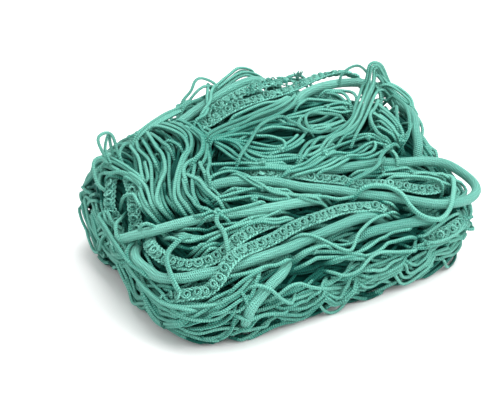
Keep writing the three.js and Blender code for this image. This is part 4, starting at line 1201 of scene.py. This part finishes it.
def settleStrands():
    paths = [strand["path"] for strand in strands]
    counts = np.array([len(path) for path in paths])
    starts = np.concatenate([[0], np.cumsum(counts)[:-1]])
    free = counts.sum()
    fixed, fixedRadius = [], []
    for path in cordPaths.values():
        fixed.append(path)
        fixedRadius.append(np.full(len(path), elastic["radius"]))
    for path in bandPaths.values():
        for row in (path, path + (0, 0, settle["bandShift"])):
            fixed.append(row)
            fixedRadius.append(np.full(len(row), settle["bandRadius"]))
    place = np.concatenate(paths + fixed)
    radius = np.concatenate([np.full(free, settle["contact"] / 2)] + fixedRadius)
    alongStrand = np.arange(free) - np.repeat(starts, counts)
    toEnd = np.minimum(alongStrand, np.repeat(counts, counts) - 1 - alongStrand)
    radius[:free][toEnd < settle["slipSteps"]] = settle["slipRadius"]   # ends slip in between the others
    loose = np.zeros(len(place))
    loose[:free] = 1
    owner = np.concatenate([np.repeat(np.arange(len(paths)), counts), np.full(len(place) - free, -1)])
    home = place[:free].copy()
    hold = np.repeat([strand["hold"] for strand in strands], counts)[:, None]
    inside = np.ones(free, bool)
    inside[starts] = False
    inside[starts + counts - 1] = False
    mid = np.flatnonzero(inside)
    link = np.ones(free, bool)
    link[starts + counts - 1] = False
    link = np.flatnonzero(link)
    rest = np.linalg.norm(place[link + 1] - place[link], axis=1)
    bend = 0.5 * (place[mid - 1] + place[mid + 1]) - place[mid]
    inward = skinNormal(home[:, 0], home[:, 1])
    stands = np.repeat([strand["stands"] for strand in strands], counts)
    tied = np.array([[starts[a] + i, starts[b] + j] for a, i, b, j in knots])
    for step in range(settle["rounds"]):
        if step % settle["rebuild"] == 0:
            first, second = closePairs(place, settle["search"])
            keep = (loose[first] + loose[second] > 0)
            keep &= ~((owner[first] == owner[second]) & (np.abs(first - second) < settle["slipSteps"]))
            gap = np.sum((place[first] - place[second]) ** 2, -1)
            keep &= gap < (radius[first] + radius[second] + settle["slack"]) ** 2
            first, second = first[keep], second[keep]
        push = place[first] - place[second]
        dist = np.maximum(np.linalg.norm(push, axis=1), settle["least"])
        over = radius[first] + radius[second] - dist
        touch = over > 0
        a, b = first[touch], second[touch]
        move = push[touch] / dist[touch, None] * over[touch, None] * settle["push"]
        shareA = loose[a] / (loose[a] + loose[b])
        for axis in range(3):
            place[:, axis] += np.bincount(a, move[:, axis] * shareA, len(place))
            place[:, axis] -= np.bincount(b, move[:, axis] * (1 - shareA), len(place))
        spot = place[:free]
        spot += (home - spot) * hold
        spot[~stands] -= inward[~stands] * settle["sinkRate"]
        if len(tied):
            apart = spot[tied[:, 0]] - spot[tied[:, 1]]
            wide = np.linalg.norm(apart, axis=1, keepdims=True)
            slack = settle["knotDraw"] * np.maximum(wide - settle["knotGap"], 0)
            draw = apart * (slack / np.maximum(wide, settle["least"]))
            spot[tied[:, 0]] -= draw
            spot[tied[:, 1]] += draw
        for again in range(settle["passes"]):
            run = spot[link + 1] - spot[link]
            length = np.maximum(np.linalg.norm(run, axis=1), settle["least"])
            fix = run * (settle["stretch"] * (length - rest) / length)[:, None]
            spot[link] += fix * 0.5
            spot[link + 1] -= fix * 0.5
        curl = 0.5 * (spot[mid - 1] + spot[mid + 1]) - spot[mid] - bend
        spot[mid] += settle["straighten"] * curl
        norm = outlineNorm(spot[:, 0], spot[:, 1])
        under = coreTop(spot[:, 0], spot[:, 1]) + settle["coreGap"] - spot[:, 2]
        within = settle["wallCore"] - norm
        lifted = (under > 0) & (within > 0) & (under < within * settle["steep"])
        spot[lifted, 2] += under[lifted] * settle["ease"]
        outward = (under > 0) & (within > 0) & ~lifted
        wider = within[outward] / np.maximum(norm[outward], settle["leastNorm"])
        spot[outward, :2] *= 1 + settle["ease"] * wider[:, None]
        np.clip(spot, settle["low"], settle["high"], out=spot)
        if step % settle["report"] == 0:
            print("settling", step, "contacts", int(touch.sum()), "deepest", round(float(over.max()), 2))
    for k, strand in enumerate(strands):
        strand["path"] = place[starts[k]:starts[k] + counts[k]].copy()


settleStrands()
print("strands settled", sum(len(strand["path"]) for strand in strands), "steps")

# Twine pieces, with painted shade darker the deeper a strand lies under its neighbours

paintedDepthShade = {"lowest": -20.0, "edge": 0.95, "rate": 0.10, "from": 4, "most": 12}
topLift = np.full(meshX.shape, paintedDepthShade["lowest"])
for strand in strands:
    path = strand["path"]
    strand["lift"] = path[:, 2] - heapHeight(path[:, 0], path[:, 1])
    strand["onTop"] = (outlineNorm(path[:, 0], path[:, 1]) < paintedDepthShade["edge"]) & (not strand["stands"])
    np.maximum.at(topLift, gridCell(path), np.where(strand["onTop"], strand["lift"], paintedDepthShade["lowest"]))
for axis in (0, 1):
    topLift = np.maximum(topLift, np.maximum(np.roll(topLift, 1, axis), np.roll(topLift, -1, axis)))


def groupArrays(group):
    chosen = [strand for strand in strands if strand["group"] == group]
    paths = [strand["path"] for strand in chosen]
    radii = [strand["radius"] for strand in chosen]
    shades = []
    for strand in chosen:
        # painted shade: darker the deeper under the top strands, plus the painted light and shade of the
        # hollows and patches
        depth = np.where(strand["onTop"], topLift[gridCell(strand["path"])] - strand["lift"], 0)
        paintedShadeByDepth = paintedDepthShade["rate"] * np.clip(depth - paintedDepthShade["from"], 0, paintedDepthShade["most"])
        shades.append(strand["shade"] - paintedShadeByDepth - strand["paintedShade"])
    return tubeArrays(paths, radii, twine["sides"], shades)


for group in ("falls", "fans", "fronts", "backs", "loose", "under", "walls"):
    makePiece("net_" + group, groupArrays(group), twineMaterial, "twine", "net_heap")

# Knots: two wraps of twine around the pair of strands that they tie

knot = {
    "wide": 0.9, "high": 1.9, "radius": 1.15, "tilt": 1.5, "lag": 0.4, "farthest": 4.2,
    "corners": 8, "sides": 4, "shades": (0.4, 0.9),
}


def knotArrays():
    paths, shades = [], []
    turns = np.linspace(0, fullTurn, knot["corners"] + 1)
    for a, i, b, j in knots:
        pathA, pathB = strands[a]["path"], strands[b]["path"]
        gap = np.linalg.norm(pathA[i] - pathB[j])
        if gap > knot["farthest"]:
            continue
        centre = 0.5 * (pathA[i] + pathB[j])
        ahead = unit(pathA[i + 1] - pathA[i - 1] + pathB[j + 1] - pathB[j - 1])
        side = pathA[i] - pathB[j]
        side = unit(side - ahead * np.dot(side, ahead))
        up = np.cross(side, ahead)
        for hand in (-1, 1):
            along = hand * knot["tilt"] * np.cos(turns + knot["lag"] * hand)
            wide = 0.5 * gap + knot["wide"]
            ring = side * (wide * np.cos(turns))[:, None] + up * (knot["high"] * np.sin(turns))[:, None]
            paths.append(centre + ring + ahead * along[:, None])
            shades.append(luck.uniform(*knot["shades"]))
    return tubeArrays(paths, [knot["radius"]] * len(paths), knot["sides"], shades)


makePiece("net_knots", knotArrays(), twineMaterial, "twine", "net_heap")

# Overhand knots where strands were tied together, in space
tie = {"radius": 1.3, "sides": 6, "steps": 33, "sizes": (0.62, 0.8), "flat": 1.6, "shades": (0.5, 0.9)}
tiedPlaces = [
    (-85, -54, 84), (97, -44, 99), (80, -46, 98), (-40, -45, 90), (-52, -53, 86), (-8, -21, 106),
    (26, -34, 99), (72, -31, 103), (-29, -27, 102), (144, 1, 106), (98, -40, 101),
]
tuft = {"place": (68, 72, 123), "hairs": 7, "steps": 5, "lean": 2.6, "high": 10.0, "least": 0.7, "radius": 0.55}
turns = np.linspace(0, fullTurn, tie["steps"])
overhand = np.stack([
    np.sin(turns) + 2 * np.sin(2 * turns),
    np.cos(turns) - 2 * np.cos(2 * turns),
    -tie["flat"] * np.sin(3 * turns),
], -1)
paths = []
for place in tiedPlaces:
    first = unit(luck.normal(0, 1, 3))
    second = unit(np.cross(first, luck.normal(0, 1, 3)))
    axes = np.stack([first, second, np.cross(first, second)])
    paths.append(np.array(place) + luck.uniform(*tie["sizes"]) * overhand @ axes)
radii = [tie["radius"]] * len(paths)
hairShape = np.linspace(0, 1, tuft["steps"])[:, None] ** (1, 1, 0.8)
for k in range(tuft["hairs"]):                         # a cut end of the selvedge, frayed
    lean = np.append(luck.normal(0, tuft["lean"], 2), tuft["high"] * luck.uniform(tuft["least"], 1.0))
    paths.append(np.array(tuft["place"]) + hairShape * lean)
    radii.append(tuft["radius"])
shades = luck.uniform(*tie["shades"], len(paths))
makePiece("net_ties", tubeArrays(paths, radii, tie["sides"], shades), twineMaterial, "twine", "net_heap")

# The middle of the heap, sunk under the strands, near-black as painted shade

core = {"long": 60, "wide": 46, "wallRows": 8, "foot": 0.6, "shade": 0.5}


def coreArrays():
    ringCount = 2 * (core["long"] + core["wide"])
    alongs, acrosses = np.linspace(-1, 1, core["long"] + 1), np.linspace(-1, 1, core["wide"] + 1)
    s, t = np.meshgrid(alongs, acrosses, indexing="ij")
    x, y = s * heap["halfLength"], t * heap["halfWidth"]
    norm = outlineNorm(x, y)
    reach = np.maximum(np.abs(s), np.abs(t))
    scale = np.where(norm > 0, reach / np.maximum(norm, 1e-9), 0)
    x, y = x * scale, y * scale
    z = coreTop(x, y)
    top = np.stack([x * settle["wallCore"], y * settle["wallCore"], z], -1).reshape(-1, 3)
    number = np.arange(len(top)).reshape(core["long"] + 1, core["wide"] + 1)
    quads = np.stack([number[:-1, :-1], number[1:, :-1], number[1:, 1:], number[:-1, 1:]], -1).reshape(-1, 4)
    rim = np.concatenate([number[:-1, 0], number[-1, :-1], number[:0:-1, -1], number[0, :0:-1]])
    corners, faces = [top], [quads]
    total = len(top)
    above = rim
    after = np.roll(np.arange(ringCount), -1)
    for row in range(1, core["wallRows"] + 1):
        share = row / core["wallRows"]
        lower = top[rim].copy()
        lower[:, :2] *= 1 - heap["wallDraft"] / heap["halfWidth"] * share
        lower[:, 2] = lower[:, 2] * (1 - share) + core["foot"] * share
        below = total + np.arange(ringCount)
        faces.append(np.stack([above, below, below[after], above[after]], -1))
        corners.append(lower)
        total += ringCount
        above = below
    corners.append(np.array([[0, 0, core["foot"]]]))
    half = np.arange(0, ringCount, 2)
    nextHalf = (half + 2) % ringCount
    faces.append(np.stack([np.full(len(half), total), above[nextHalf], above[half + 1], above[half]], -1))
    corners = np.concatenate(corners)
    faces = np.concatenate(faces)
    return corners, faces, np.zeros((len(faces), 4, 2)), np.full(len(corners), core["shade"])


makePiece("net_core", coreArrays(), coreShadeMaterial, "twine", "net_heap")
print("net made")
